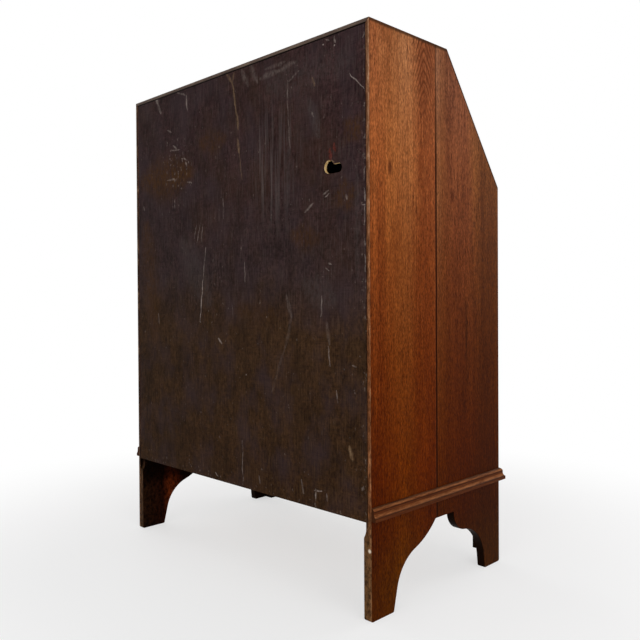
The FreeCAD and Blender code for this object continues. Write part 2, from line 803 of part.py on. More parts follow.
# Fall hinges: brass butts, leaves let in flush, knuckles on the line where the fall meets the desk
HINGE_X = f"({FALL_HALF} - hinge_inset)"
NECK = "(knuckle_radius + hinge_gap)"
THIRD = "(hinge_length / 6)"
desk_leaves, fall_leaves, pins, desk_hinge_room, fall_hinge_room = [], [], [], [], []
for side in (LEFT, RIGHT):
    whose = SIDE_NAMES[side]
    middle = f"-{HINGE_X}" if side == LEFT else HINGE_X

    def span(low, high, middle=middle):
        return f"{middle} + ({low})", f"{middle} + ({high})"

    whole = span("-hinge_length / 2", "hinge_length / 2")
    inner_span = span(f"-{THIRD} + hinge_gap", f"{THIRD} - hinge_gap")
    outer_spans = [span("-hinge_length / 2", f"-{THIRD}"), span(THIRD, "hinge_length / 2")]
    leaf_z = (f"{DESK} - hinge_leaf_thickness", DESK)
    flap_y = (f"{HINGE_Y} + {NECK}", f"{HINGE_Y} + hinge_leaf")
    desk_parts = [slab(f"{whose}_desk_flap", whole, flap_y, leaf_z)]
    for part, bounds in zip(("first", "last"), outer_spans):
        desk_parts.append(slab(f"{whose}_desk_neck_{part}", bounds, (HINGE_Y, f"{HINGE_Y} + {NECK}"), leaf_z))
        desk_parts.append(cross_rod(f"{whose}_desk_knuckle_{part}", "knuckle_radius", *bounds, HINGE_Y, DESK))
    pin = cross_rod(f"{whose}_hinge_pin", "hinge_pin_radius", *whole, HINGE_Y, DESK)
    pins.append(pin)
    desk_leaves.append(cut(f"{whose}_desk_leaf", fused(f"{whose}_desk_leaf_blank", desk_parts), [pin]))
    leaf_depth = ("0", "hinge_leaf_thickness")
    fall_parts = [
        slab(f"{whose}_fall_flap", whole, (NECK, "hinge_leaf"), leaf_depth, tilted=True),
        slab(f"{whose}_fall_neck", inner_span, ("0", NECK), leaf_depth, tilted=True),
        cross_rod(f"{whose}_fall_knuckle", "knuckle_radius", *inner_span, HINGE_Y, DESK),
    ]
    bore = cross_rod(f"{whose}_fall_bore", "hinge_pin_radius + running_gap", *inner_span, HINGE_Y, DESK)
    fall_leaves.append(cut(f"{whose}_fall_leaf", fused(f"{whose}_fall_leaf_blank", fall_parts), [bore]))
    room = span("-hinge_length / 2 - hinge_gap", "hinge_length / 2 + hinge_gap")
    desk_hinge_room += [
        cross_rod(f"{whose}_desk_knuckle_room", NECK, *room, HINGE_Y, DESK),
        slab(f"{whose}_desk_leaf_room", whole, (HINGE_Y, f"{HINGE_Y} + hinge_leaf"), leaf_z),
    ]
    fall_hinge_room += [
        cross_rod(f"{whose}_fall_knuckle_room", NECK, *room, HINGE_Y, DESK),
        slab(f"{whose}_fall_leaf_room", whole, ("0", "hinge_leaf"), leaf_depth, tilted=True),
    ]
piece("hinge_desk_leaves", group("hinge_desk_leaves", desk_leaves))
piece("hinge_fall_leaves", group("hinge_fall_leaves", fall_leaves))
piece("hinge_pins", group("hinge_pins", pins))
piece("desk_board", cut("desk_board", desk_blank, desk_hinge_room + low_partitions))

# Fall lock: a cut lock flush with the inside of the fall, its bolt rising into the top board
BOLT_MIDDLE = "(lock_thickness / 2)"
BOLT_DEPTH = (f"{BOLT_MIDDLE} - bolt_thickness / 2", f"{BOLT_MIDDLE} + bolt_thickness / 2")
LOCK_FOOT = f"({FALL_LENGTH} - lock_height)"
case_block = slab(
    "lock_case_block",
    across("lock_width / 2"),
    (LOCK_FOOT, FALL_LENGTH),
    ("0", "lock_thickness"),
    tilted=True,
)
bolt_way = slab(
    "lock_bolt_way",
    across("bolt_width / 2 + loper_gap"),
    (f"{FALL_LENGTH} - bolt_length - fall_rest", f"{FALL_LENGTH} + bolt_throw"),
    (f"{BOLT_DEPTH[0]} - fall_rest", f"{BOLT_DEPTH[1]} + fall_rest"),
    tilted=True,
)
key_sweep = "key_radius + key_bit + fall_rest"
key_way = tilted_rod("lock_key_way", key_sweep, "0", KEY_Y, *BOLT_DEPTH)
key_bore = tilted_rod(
    "lock_key_bore", "key_radius + running_gap", "0", KEY_Y, BOLT_DEPTH[0], "lock_thickness"
)
piece("fall_lock_case", cut("fall_lock_case", case_block, [bolt_way, key_way, key_bore]))
bolt = slab(
    "fall_lock_bolt",
    across("bolt_width / 2"),
    (f"{FALL_LENGTH} - bolt_length", f"{FALL_LENGTH}"),
    BOLT_DEPTH,
    tilted=True,
)
piece("fall_lock_bolt", bolt)
KEY_TIP = f"({BOLT_DEPTH[0]} + fall_rest)"
BOW_FOOT = "(fall_thickness + key_reach)"
bow_blank = prism(
    "key_bow_blank",
    "XZ_Plane",
    [
        ("-key_bow", f"{BOW_FOOT} + key_bow", ("key_bow", 1)),
        ("key_bow", f"{BOW_FOOT} + key_bow", ("key_bow", 1)),
    ],
    "-key_radius * 0.6",
    "key_radius * 0.6",
)
bow_eye = prism(
    "key_bow_eye",
    "XZ_Plane",
    [
        ("-key_bow * 0.6", f"{BOW_FOOT} + key_bow", ("key_bow * 0.6", 1)),
        ("key_bow * 0.6", f"{BOW_FOOT} + key_bow", ("key_bow * 0.6", 1)),
    ],
    "-key_radius",
    "key_radius",
)
for bow in (bow_blank, bow_eye):
    on_fall(bow, "0", KEY_Y, "0")
key = fused(
    "fall_key",
    [
        tilted_rod("key_shank", "key_radius", "0", KEY_Y, KEY_TIP, f"{BOW_FOOT} + key_bow * 0.3"),
        slab(
            "key_bit_web",
            across("key_radius * 0.5"),
            (f"{KEY_Y} - key_radius - key_bit", KEY_Y),
            (KEY_TIP, f"{BOLT_DEPTH[1]} - fall_rest"),
            tilted=True,
        ),
        cut("key_bow_ring", bow_blank, [bow_eye]),
    ],
)
piece("fall_key", key)
ESCUTCHEON_END = "(escutcheon_height / 2 - escutcheon_width / 2)"
escutcheon_blank = prism(
    "escutcheon_blank",
    "XY_Plane",
    [
        ("-escutcheon_width / 2", f"-{ESCUTCHEON_END}", ("escutcheon_width / 2", 1)),
        ("escutcheon_width / 2", f"-{ESCUTCHEON_END}"),
        ("escutcheon_width / 2", ESCUTCHEON_END, ("escutcheon_width / 2", 1)),
        ("-escutcheon_width / 2", ESCUTCHEON_END),
    ],
    "fall_thickness",
    "fall_thickness + escutcheon_thickness",
)
on_fall(escutcheon_blank, "0", KEY_Y, "0")
keyhole = [
    tilted_rod("keyhole_eye", "key_radius + fall_rest", "0", KEY_Y, "lock_thickness", "fall_thickness * 2"),
    slab(
        "keyhole_slot",
        across("key_radius * 0.8"),
        (f"{KEY_Y} - key_radius - key_bit - fall_rest", KEY_Y),
        ("lock_thickness", "fall_thickness * 2"),
        tilted=True,
    ),
]
piece("fall_escutcheon", cut("fall_escutcheon", escutcheon_blank, keyhole))

# The keep of the lock is a mortise chopped upright into the top board, as long as the bolt's slanting
# way; the dividers' housings are cut there too
KEEP_MOUTH = f"({FALL_LENGTH} + fall_gap)"
KEEP_END = f"({FALL_LENGTH} + bolt_throw + fall_gap)"
KEEP_NEAR = f"({BOLT_DEPTH[0]} - fall_rest)"
KEEP_FAR = f"({BOLT_DEPTH[1]} + fall_rest)"
keep = slab(
    "lock_keep",
    across("bolt_width / 2 + fall_gap"),
    (
        f"{HINGE_Y} + {KEEP_MOUTH} * {COS} - {KEEP_FAR} * {SIN}",
        f"{HINGE_Y} + {KEEP_END} * {COS} - {KEEP_NEAR} * {SIN}",
    ),
    (f"{TOP_UNDERSIDE} - board", f"{DESK} + {KEEP_END} * {SIN} + {KEEP_FAR} * {COS}"),
)
piece("top_board", cut("top_board", top_blank, dividers + [keep]))

# Fall: a panel with tongued cleats across its ends, its outer face turned upright below the kink
fall_section = [
    ("fall_gap / 2", "0"),
    (FALL_LENGTH, "0"),
    (FALL_LENGTH, "fall_thickness"),
    (KINK, "fall_thickness"),
    ("fall_gap / 2", f"fall_thickness - ({KINK} - fall_gap / 2) * {COS} / {SIN}"),
]


def fall_prism(name, low, high):
    return on_fall(prism(name, "YZ_Plane", fall_section, low, high), "0", "0", "0")


CLEAT = f"({FALL_HALF} - cleat_width)"
panel_field = fall_prism("fall_panel_field", *across(CLEAT))
cleat_tongues = slab(
    "fall_cleat_tongues",
    across(f"{CLEAT} + tongue"),
    (f"{KINK} + tongue", f"{FALL_LENGTH} - board"),
    ("(fall_thickness - tongue) / 2", "(fall_thickness + tongue) / 2"),
    tilted=True,
)
panel_tongued = fused("fall_panel_tongued", [panel_field, cleat_tongues])
piece("fall_panel", cut("fall_panel", panel_tongued, fall_hinge_room + [case_block] + keyhole))
cleats = [
    cut(
        f"fall_cleat_{SIDE_NAMES[side]}",
        fall_prism(f"fall_cleat_{SIDE_NAMES[side]}_blank", *sided(side, CLEAT, FALL_HALF)),
        [cleat_tongues],
    )
    for side in (LEFT, RIGHT)
]
piece("fall_cleats", group("fall_cleats", cleats))


# Turned brass knobs, spun about the line that they stand out along
def knob(label, x, y, z):
    dome = "(0.25 * knob_reach)"
    dome_radius = f"((knob_radius^2 + {dome}^2) / (2 * {dome}))"
    shape = turned(
        f"{label}_turning",
        [
            ("0", "0"),
            ("0.65 * knob_radius", "0"),
            ("0.65 * knob_radius", "0.12 * knob_reach", ("0.45 * knob_reach", -1)),
            ("0.5 * knob_radius", "0.45 * knob_reach", ("0.6 * knob_radius", -1)),
            ("knob_radius", f"knob_reach - {dome}", (dome_radius, 1)),
            ("0", "knob_reach"),
        ],
    )
    return piece(label, seat(shape, x, y, z, (1, 0, 0), "90"))


# Lopers: the oak bars that slide out beside the top drawer to carry the open fall; a peg in the side
# of each runs in the partition's groove and stops it
for side in (LEFT, RIGHT):
    whose = SIDE_NAMES[side]
    loper_blank = slab(
        f"loper_{whose}_blank",
        sided(side, f"{INNER} - loper_gap - loper_width", f"{INNER} - loper_gap"),
        (FRONT, LOPER_END),
        (f"{TOP_FLOOR} + run_gap", LOPER_TOP),
    )
    peg = cross_rod(
        f"loper_{whose}_peg",
        "loper_peg_radius",
        *sided(side, f"{INNER} - {BAY} - loper_peg_reach", f"{INNER} - loper_gap - loper_width / 2"),
        PEG_Y,
        PEG_Z,
    )
    bar = cut(f"loper_{whose}_bar", loper_blank, [peg])
    piece(f"loper_{whose}", group(f"loper_{whose}", [bar, peg]))
    middle = f"({INNER} - loper_gap - loper_width / 2)"
    knob(f"loper_{whose}_knob", f"-{middle}" if side == LEFT else middle, FRONT, PEG_Z)


def drawer_box(name, half, front_y, foot, head, tails, make, holes=()):
    """A dovetailed drawer: front, two sides, back and floor. The sides' tails are lapped by the front."""
    front_back = f"({front_y} + {make['front']})"
    tip = f"({front_y} + {make['lap']})"
    end = f"({PANEL_FACE} - {make['clear']})"
    side_foot, side_head = f"({foot} + run_gap)", f"({head} - {make['drop']})"
    pitch = f"(({side_head} - {side_foot}) / {tails})"
    tail_slope = 7
    tail_share = 0.32
    side_outline = [(end, side_foot), (front_back, side_foot)]
    for i in range(tails):
        middle = f"{side_foot} + {i + 0.5} * {pitch}"
        root = f"{tail_share} * {pitch}"
        wide = f"({root} + ({front_back} - {tip}) / {tail_slope})"
        side_outline += [
            (front_back, f"{middle} - {root}"),
            (tip, f"{middle} - {wide}"),
            (tip, f"{middle} + {wide}"),
            (front_back, f"{middle} + {root}"),
        ]
    side_outline += [(front_back, side_head), (end, side_head)]
    side_blanks = [
        prism(
            f"{name}_side_{SIDE_NAMES[side]}_blank",
            "YZ_Plane",
            side_outline,
            *sided(side, f"{half} - {make['side']}", half),
        )
        for side in (LEFT, RIGHT)
    ]
    inside = f"({half} - {make['side']})"
    floor_z = (f"{side_foot} + 1.5 * {make['floor']}", f"{side_foot} + 2.5 * {make['floor']}")
    floor = slab(
        f"{name}_floor",
        across(f"{inside} + {make['groove']}"),
        (f"{front_back} - {make['groove']}", end),
        floor_z,
    )
    back = slab(
        f"{name}_back",
        across(f"{inside} + {make['groove']}"),
        (f"{end} - 2 * {make['back']}", f"{end} - {make['back']}"),
        (floor_z[1], f"{side_head} - {make['drop']}"),
    )
    front_blank = slab(
        f"{name}_front_blank",
        across(half),
        (front_y, front_back),
        (f"{foot} + drawer_gap", f"{head} - drawer_gap"),
    )
    piece(f"{name}_front", cut(f"{name}_front", front_blank, side_blanks + [floor] + list(holes)))
    sides = [cut(f"{blank.Name}_cut", blank, [floor, back]) for blank in side_blanks]
    piece(f"{name}_sides", group(f"{name}_sides", sides))
    piece(f"{name}_back", back)
    piece(f"{name}_floor", floor)


# Brass drop handles: a shaped plate, two ball-headed posts through the drawer front, and a bail that
# swings on the posts
PIVOT_Y = f"({FRONT} - handle_reach + post_head)"
PLATE_HALF = "(handle_posts + post_head * 2.2)"
BAIL_ARM = "(handle_posts + post_head + hinge_gap + bail_bend)"


def handle_plate(name, x, z):
    plate = prism(
        name,
        "XZ_Plane",
        [
            (f"-{PLATE_HALF}", "0", ("plate_height * 0.7", 1)),
            (f"-{PLATE_HALF} * 0.62", "-plate_height * 0.42", ("plate_height * 0.6", -1)),
            ("0", "-plate_height / 2", ("plate_height * 0.6", -1)),
            (f"{PLATE_HALF} * 0.62", "-plate_height * 0.42", ("plate_height * 0.7", 1)),
            (PLATE_HALF, "0", ("plate_height * 0.7", 1)),
            (f"{PLATE_HALF} * 0.62", "plate_height * 0.42", ("plate_height * 0.6", -1)),
            ("0", "plate_height / 2", ("plate_height * 0.6", -1)),
            (f"-{PLATE_HALF} * 0.62", "plate_height * 0.42", ("plate_height * 0.7", 1)),
        ],
        "-plate_thickness",
        "0",
    )
    return seat(plate, x, FRONT, z)


def handle_post(name, x, z):
    """A post spun about the line through the drawer front; its head is a ball with a hole for the bail."""
    head = "(handle_reach - post_head)"
    neck_end = f"({head} - sqrt(post_head^2 - post_neck^2))"
    post = turned(
        f"{name}_turning",
        [
            ("0", "-drawer_front"),
            ("post_shank", "-drawer_front"),
            ("post_shank", "plate_thickness"),
            ("post_neck", "plate_thickness"),
            ("post_neck", neck_end, ("post_head", 1)),
            ("0", "handle_reach"),
        ],
    )
    seat(post, x, FRONT, z, (1, 0, 0), "90")
    eye = cross_rod(
        f"{name}_eye",
        "bail_radius + running_gap",
        f"({x}) - post_head * 2",
        f"({x}) + post_head * 2",
        PIVOT_Y,
        z,
    )
    return cut(name, post, [eye])


def bail(label, x, z):
    """A round brass bar bent to a U, its ends turned in to the posts."""
    body = doc.addObject("PartDesign::Body", f"{label}_bar")
    bend = ("bail_bend", 1)
    path = outline(
        body,
        f"{label}_path",
        "XZ_Plane",
        [
            ("-handle_posts + post_head * 0.8", "0"),
            (f"-{BAIL_ARM} + bail_bend", "0", bend),
            (f"-{BAIL_ARM}", "-bail_bend"),
            (f"-{BAIL_ARM}", "-bail_drop + bail_bend", bend),
            (f"-{BAIL_ARM} + bail_bend", "-bail_drop"),
            (f"{BAIL_ARM} - bail_bend", "-bail_drop", bend),
            (BAIL_ARM, "-bail_drop + bail_bend"),
            (BAIL_ARM, "-bail_bend", bend),
            (f"{BAIL_ARM} - bail_bend", "0"),
            ("handle_posts - post_head * 0.8", "0"),
        ],
        closed=False,
    )
    ring = outline(
        body,
        f"{label}_ring",
        "YZ_Plane",
        [("-bail_radius", "0", ("bail_radius", 1)), ("bail_radius", "0", ("bail_radius", 1))],
    )
    bind(ring, AttachmentOffset__Base__z="-handle_posts + post_head * 0.8")
    doc.recompute()
    pipe = body.newObject("PartDesign::AdditivePipe", f"{label}_pipe")
    pipe.Profile = ring
    pipe.Spine = (path, [f"Edge{i + 1}" for i in range(9)])
    return piece(label, seat(body, x, PIVOT_Y, z))


# Long drawers: the top one runs between the loper partitions, the others between the gables
long_drawer = {
    "front": "drawer_front",
    "side": "drawer_side",
    "back": "drawer_back",
    "floor": "drawer_floor",
    "clear": "drawer_clear",
    "groove": "drawer_groove",
    "lap": "dovetail_lap",
    "drop": "side_drop",
}
for name, half, foot, head, tails in (
    ("drawer_bottom", f"({INNER} - drawer_gap)", FLOOR_TOP, LOWER_RAIL, 5),
    ("drawer_middle", f"({INNER} - drawer_gap)", MIDDLE_FLOOR, UPPER_RAIL, 4),
    ("drawer_top", TOP_DRAWER_HALF, TOP_FLOOR, DESK_UNDERSIDE, 3),
):
    handle_z = f"(({foot} + {head}) / 2 + bail_drop / 4)"
    fittings, posts = [], []
    for side in (LEFT, RIGHT):
        whose = SIDE_NAMES[side]
        handle_x = f"-{HANDLE_X}" if side == LEFT else HANDLE_X
        pair = [
            handle_post(f"{name}_post_{whose}_{which}", f"{handle_x} {sign} handle_posts", handle_z)
            for which, sign in (("near", "-"), ("far", "+"))
        ]
        plate = handle_plate(f"{name}_plate_{whose}_blank", handle_x, handle_z)
        fittings += [cut(f"{name}_plate_{whose}", plate, pair)] + pair
        posts += pair
        bail(f"{name}_bail_{whose}", handle_x, handle_z)
    piece(f"{name}_handle_plates", group(f"{name}_handle_plates", fittings))
    drawer_box(name, half, FRONT, foot, head, tails, long_drawer, posts)

# Stationery tray: a small dovetailed drawer between the low partitions, pulled by a turned knob
tray = {
    "front": "tray_front",
    "side": "tray_side",
    "back": "tray_side",
    "floor": "tray_floor",
    "clear": "tray_clear",
    "groove": "tray_groove",
    "lap": "tray_lap",
    "drop": "tray_groove",
}
TRAY_FRONT = f"({PANEL_FACE} - divider_depth)"
drawer_box("tray", f"({TRAY_HALF} - drawer_gap)", TRAY_FRONT, DESK, SHELF_FOOT, 2, tray)
knob("tray_knob", "0", TRAY_FRONT, f"{DESK} + tier_height / 2")

doc.recompute()

# Every object has to be sound before a file is written
for thing in doc.Objects:
    if {"Invalid", "Error"} & set(thing.State):
        raise RuntimeError(f"{thing.Name} failed: {thing.State}")
for label, thing in pieces.items():
    if thing.Shape.isNull() or not thing.Shape.isValid() or not thing.Shape.Solids:
        raise RuntimeError(f"{label} has no sound solid")

os.makedirs("parts", exist_ok=True)
for label, thing in pieces.items():
    thing.Shape.exportStep(os.path.join("parts", label + ".step"))
print(len(pieces), "pieces,", sum(len(thing.Shape.Solids) for thing in pieces.values()), "solids")
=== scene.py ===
"""An oak slant-front writing bureau, seen from behind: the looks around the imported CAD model."""

import json
import math

import bpy
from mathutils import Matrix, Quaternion, Vector


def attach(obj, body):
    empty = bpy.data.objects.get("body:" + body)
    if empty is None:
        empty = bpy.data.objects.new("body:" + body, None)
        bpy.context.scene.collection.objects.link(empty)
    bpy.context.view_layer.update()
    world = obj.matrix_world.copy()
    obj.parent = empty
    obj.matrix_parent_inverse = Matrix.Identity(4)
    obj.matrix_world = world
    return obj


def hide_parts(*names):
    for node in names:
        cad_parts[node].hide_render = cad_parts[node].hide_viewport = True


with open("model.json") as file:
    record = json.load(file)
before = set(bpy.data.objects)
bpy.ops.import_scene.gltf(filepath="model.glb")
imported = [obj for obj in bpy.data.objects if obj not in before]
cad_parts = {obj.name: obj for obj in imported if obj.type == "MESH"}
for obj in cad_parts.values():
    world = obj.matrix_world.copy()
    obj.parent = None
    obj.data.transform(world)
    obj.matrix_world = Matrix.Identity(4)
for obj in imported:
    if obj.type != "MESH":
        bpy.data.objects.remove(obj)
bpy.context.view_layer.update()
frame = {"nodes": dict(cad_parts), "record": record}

# Gables: each is two oak boards glued edge to edge and cut to the slope and to bracket feet.
# The wood is stained and waxed, orange in the rear board and redder in the front one; the rear
# edges are worn pale, the arrises are eased by hand, the boards grow darker towards the floor, and
# the sawn edges and inner faces of the feet carry painted shade.
mm = 0.001
SLOPE = math.radians(53.5)
UPRIGHT = (0, 0, 0)
GABLE_ARRIS = 1.2 * mm
# Faces at less than the first angle are one, those up to the second shade as one, and an edge of more
# than the third is an arris
LEVEL, SMOOTH, SHARP = (math.radians(angle) for angle in (0.3, 32, 35))
SEAM = 25.6 * mm
SLOPE_LINE = (1048 * math.cos(SLOPE) + 13 * math.sin(SLOPE)) * mm
body_of = {node: body for body, nodes in frame["record"]["behaviour"]["bodies"].items() for node in nodes}
slot_of = {part["node"]: part["material_slot"] for part in frame["record"]["subparts"]}


def linear(code):
    """The linear colour of an sRGB hex value."""
    shares = [int(code[i : i + 2], 16) / 255 for i in (1, 3, 5)]
    return tuple(s / 12.92 if s <= 0.04045 else ((s + 0.055) / 1.055) ** 2.4 for s in shares) + (1.0,)


def add(tree, kind, settings=None, links=None):
    """Adds a node, with its settings or unlinked sockets, and links sockets to other nodes."""
    node = tree.nodes.new("ShaderNode" + kind)
    for name, value in (settings or {}).items():
        if name == "ramp":
            for element, (place, code) in zip(node.color_ramp.elements, value[:2]):
                element.position, element.color = place, linear(code)
            for place, code in value[2:]:
                node.color_ramp.elements.new(place).color = linear(code)
        elif isinstance(name, str) and hasattr(node, name):
            setattr(node, name, value)
        else:
            node.inputs[name].default_value = value
    for name, source in (links or {}).items():
        socket = source if isinstance(source, bpy.types.NodeSocket) else source.outputs[0]
        tree.links.new(socket, node.inputs[name])
    return node


def new_finish(name, shader_settings):
    """A material with one shader, ready for its colour; gives back its tree and shader."""
    material = bpy.data.materials.new(name)
    material.use_nodes = True
    tree = material.node_tree
    tree.nodes.clear()
    shader = add(tree, "BsdfPrincipled", shader_settings)
    add(tree, "OutputMaterial", {}, {"Surface": shader})
    return material, tree, shader


def paint(tree, shader, colour):
    """Gives a shader the colour of a node."""
    tree.links.new(colour.outputs[0], shader.inputs["Base Color"])


def grain_size(width, length):
    """The scale of a pattern of that width across the grain and length along it, in millimetres."""
    return 1 / (width * mm), 1 / (width * mm), 1 / (length * mm)


def lay_out(tree):
    """Where a point of the piece lies, its distances along the three axes, and which way it faces."""
    place = add(tree, "TexCoord")
    axes = add(tree, "SeparateXYZ", {}, {"Vector": place.outputs["Object"]})
    facing = add(tree, "SeparateXYZ", {}, {"Vector": place.outputs["Normal"]})
    return place.outputs["Object"], axes.outputs, facing.outputs


def grain_noise(tree, place, width, length, detail, roughness=0.5, distortion=0.0):
    """A cloudy pattern of that width across the grain and length along it, in millimetres."""
    scaled = add(tree, "Mapping", {"Scale": grain_size(width, length)}, {"Vector": place})
    settings = {"Scale": 1.0, "Detail": detail, "Roughness": roughness, "Distortion": distortion}
    return add(tree, "TexNoise", settings, {"Vector": scaled})


def reckon(tree, operation, *values):
    """A sum on values, each a number or another node's value."""
    numbers = {i: value for i, value in enumerate(values) if isinstance(value, (int, float))}
    sources = {i: value for i, value in enumerate(values) if i not in numbers}
    return add(tree, "Math", {"operation": operation, **numbers}, sources)


def ranged(tree, value, start, end, high=1.0, low=0.0):
    """A value carried over from start and end to low and high, and held there beyond them."""
    limits = {"From Min": start, "From Max": end, "To Min": low, "To Max": high}
    return add(tree, "MapRange", limits, {"Value": value})


def ramped(tree, value, stops):
    """The colour that a value has among coloured stops, of which the first two are the ends."""
    return add(tree, "ValToRGB", {"ramp": stops}, {"Fac": value})


def tinted(tree, under, share, over):
    """A colour that goes over, by a share, into a hex colour or another node's colour."""
    if isinstance(over, str):
        return add(tree, "MixRGB", {"Color2": linear(over)}, {"Fac": share, "Color1": under})
    return add(tree, "MixRGB", {}, {"Fac": share, "Color1": under, "Color2": over})


def shaded(tree, under, tone):
    """A colour darkened by another one."""
    return add(tree, "MixRGB", {"blend_type": "MULTIPLY", "Fac": 1.0}, {"Color1": under, "Color2": tone})


def soft_spot(tree, place, middle, reach, core, top=1.0):
    """A soft-edged spot, full within a core that is a share of its reach along each axis.
    Its middle and its reach are in millimetres, and an axis with no reach is left out."""
    shares = tuple(1 / (along * mm) if along else 0 for along in reach)
    away = add(
        tree, "VectorMath", {"operation": "SUBTRACT", 1: tuple(m * mm for m in middle)}, {0: place}
    )
    scaled = add(tree, "VectorMath", {"operation": "MULTIPLY", 1: shares}, {0: away})
    far = add(tree, "VectorMath", {"operation": "LENGTH"}, {0: scaled})
    fade = {"From Min": 1.0, "From Max": core, "To Max": top, "interpolation_type": "SMOOTHSTEP"}
    return add(tree, "MapRange", fade, {"Value": far.outputs["Value"]})


def planed_wood(name, turn, tones, pores, gloss):
    """Wood with its grain along Z once it is turned: broad tone, streaks, and pores as fine dashes.
    Gives back the material, its tree, its shader, its colour and the coordinates along the grain."""
    light, middle, dark, pore_tone = tones
    pore_width, pore_length, pore_depth = pores
    sheen = {"Roughness": gloss, "Specular IOR Level": 0.04, "Specular Tint": linear("#d89a62")}
    material, tree, shader = new_finish(name, sheen)
    place, *_ = lay_out(tree)
    grain = add(tree, "Mapping", {"Rotation": turn}, {"Vector": place})
    broad = grain_noise(tree, grain, 55, 620, 3.0, distortion=0.4)
    tone = ramped(tree, broad, [(0.3, dark), (0.72, light), (0.5, middle)])
    streak = grain_noise(tree, grain, 5, 280, 5.0, 0.75)
    streak_share = ranged(tree, streak, 0.42, 0.66, 0.75)
    streaked = tinted(tree, tone, streak_share, dark)
    gleam = grain_noise(tree, grain, 3.4, 60, 3.0, 0.6)
    gleam_share = ranged(tree, gleam, 0.5, 0.7, 0.8)
    gleaming = tinted(tree, streaked, gleam_share, light)
    pore = grain_noise(tree, grain, pore_width, pore_length, 2.0, 0.7)
    pore_share = ranged(tree, pore, 0.5, 0.66, pore_depth)
    pored = tinted(tree, gleaming, pore_share, pore_tone)
    # Growth rings, cut by the saw into long pointed lines some 9 mm apart
    ring_place = add(tree, "Mapping", {"Scale": grain_size(9, 170)}, {"Vector": grain})
    ring_shape = {"Scale": math.pi / 10, "Distortion": 5.0, "Detail": 2.0, "Detail Scale": 0.4}
    rings = add(tree, "TexWave", ring_shape, {"Vector": ring_place})
    ring_share = ranged(tree, rings, 0.5, 1.0, 0.45)
    pored = tinted(tree, pored, ring_share, dark)
    paint(tree, shader, pored)
    dents = add(
        tree, "Bump", {"Strength": 0.25, "Distance": 0.3 * mm, "invert": True}, {"Height": pore_share}
    )
    tree.links.new(dents.outputs[0], shader.inputs["Normal"])
    return material, tree, shader, pored, grain


def pick(piece):
    """Selects one object alone, for the next operator."""
    bpy.ops.object.select_all(action="DESELECT")
    piece.select_set(True)
    bpy.context.view_layer.objects.active = piece


def eased(name, width, material, wanted=lambda middle, length: True):
    """A copy of a CAD piece with the wanted arrises rounded off, which stands for the piece."""
    pick(frame["nodes"][name])
    bpy.ops.object.duplicate()
    copy = bpy.context.object
    copy.name = name + "_finished"
    bpy.ops.object.mode_set(mode="EDIT")
    bpy.ops.mesh.select_mode(type="EDGE")
    bpy.ops.mesh.select_all(action="SELECT")
    bpy.ops.mesh.remove_doubles(threshold=0.001 * mm)
    bpy.ops.mesh.customdata_custom_splitnormals_clear()
    if width:
        bpy.ops.mesh.dissolve_limited(angle_limit=LEVEL)
        bpy.ops.mesh.select_all(action="DESELECT")
        bpy.ops.mesh.edges_select_sharp(sharpness=SHARP)
        bpy.ops.object.mode_set(mode="OBJECT")
        for edge in copy.data.edges:
            start, end = (copy.data.vertices[v].co for v in edge.vertices)
            if edge.select and not wanted((start + end) / 2, (end - start).length):
                edge.select = False
        bpy.ops.object.mode_set(mode="EDIT")
        bpy.ops.mesh.bevel(offset=width, segments=2, affect="EDGES", clamp_overlap=True)
    bpy.ops.object.mode_set(mode="OBJECT")
    bpy.ops.object.shade_smooth_by_angle(angle=SMOOTH)
    # The broad faces stay flat up to the rounded arrises
    bpy.ops.object.modifier_add(type="WEIGHTED_NORMAL")
    copy.modifiers[-1].keep_sharp = True
    bpy.ops.object.modifier_apply(modifier=copy.modifiers[-1].name)
    copy.data.materials.clear()
    copy.data.materials.append(material)
    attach(copy, body_of[name])
    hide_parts(name)
    return copy


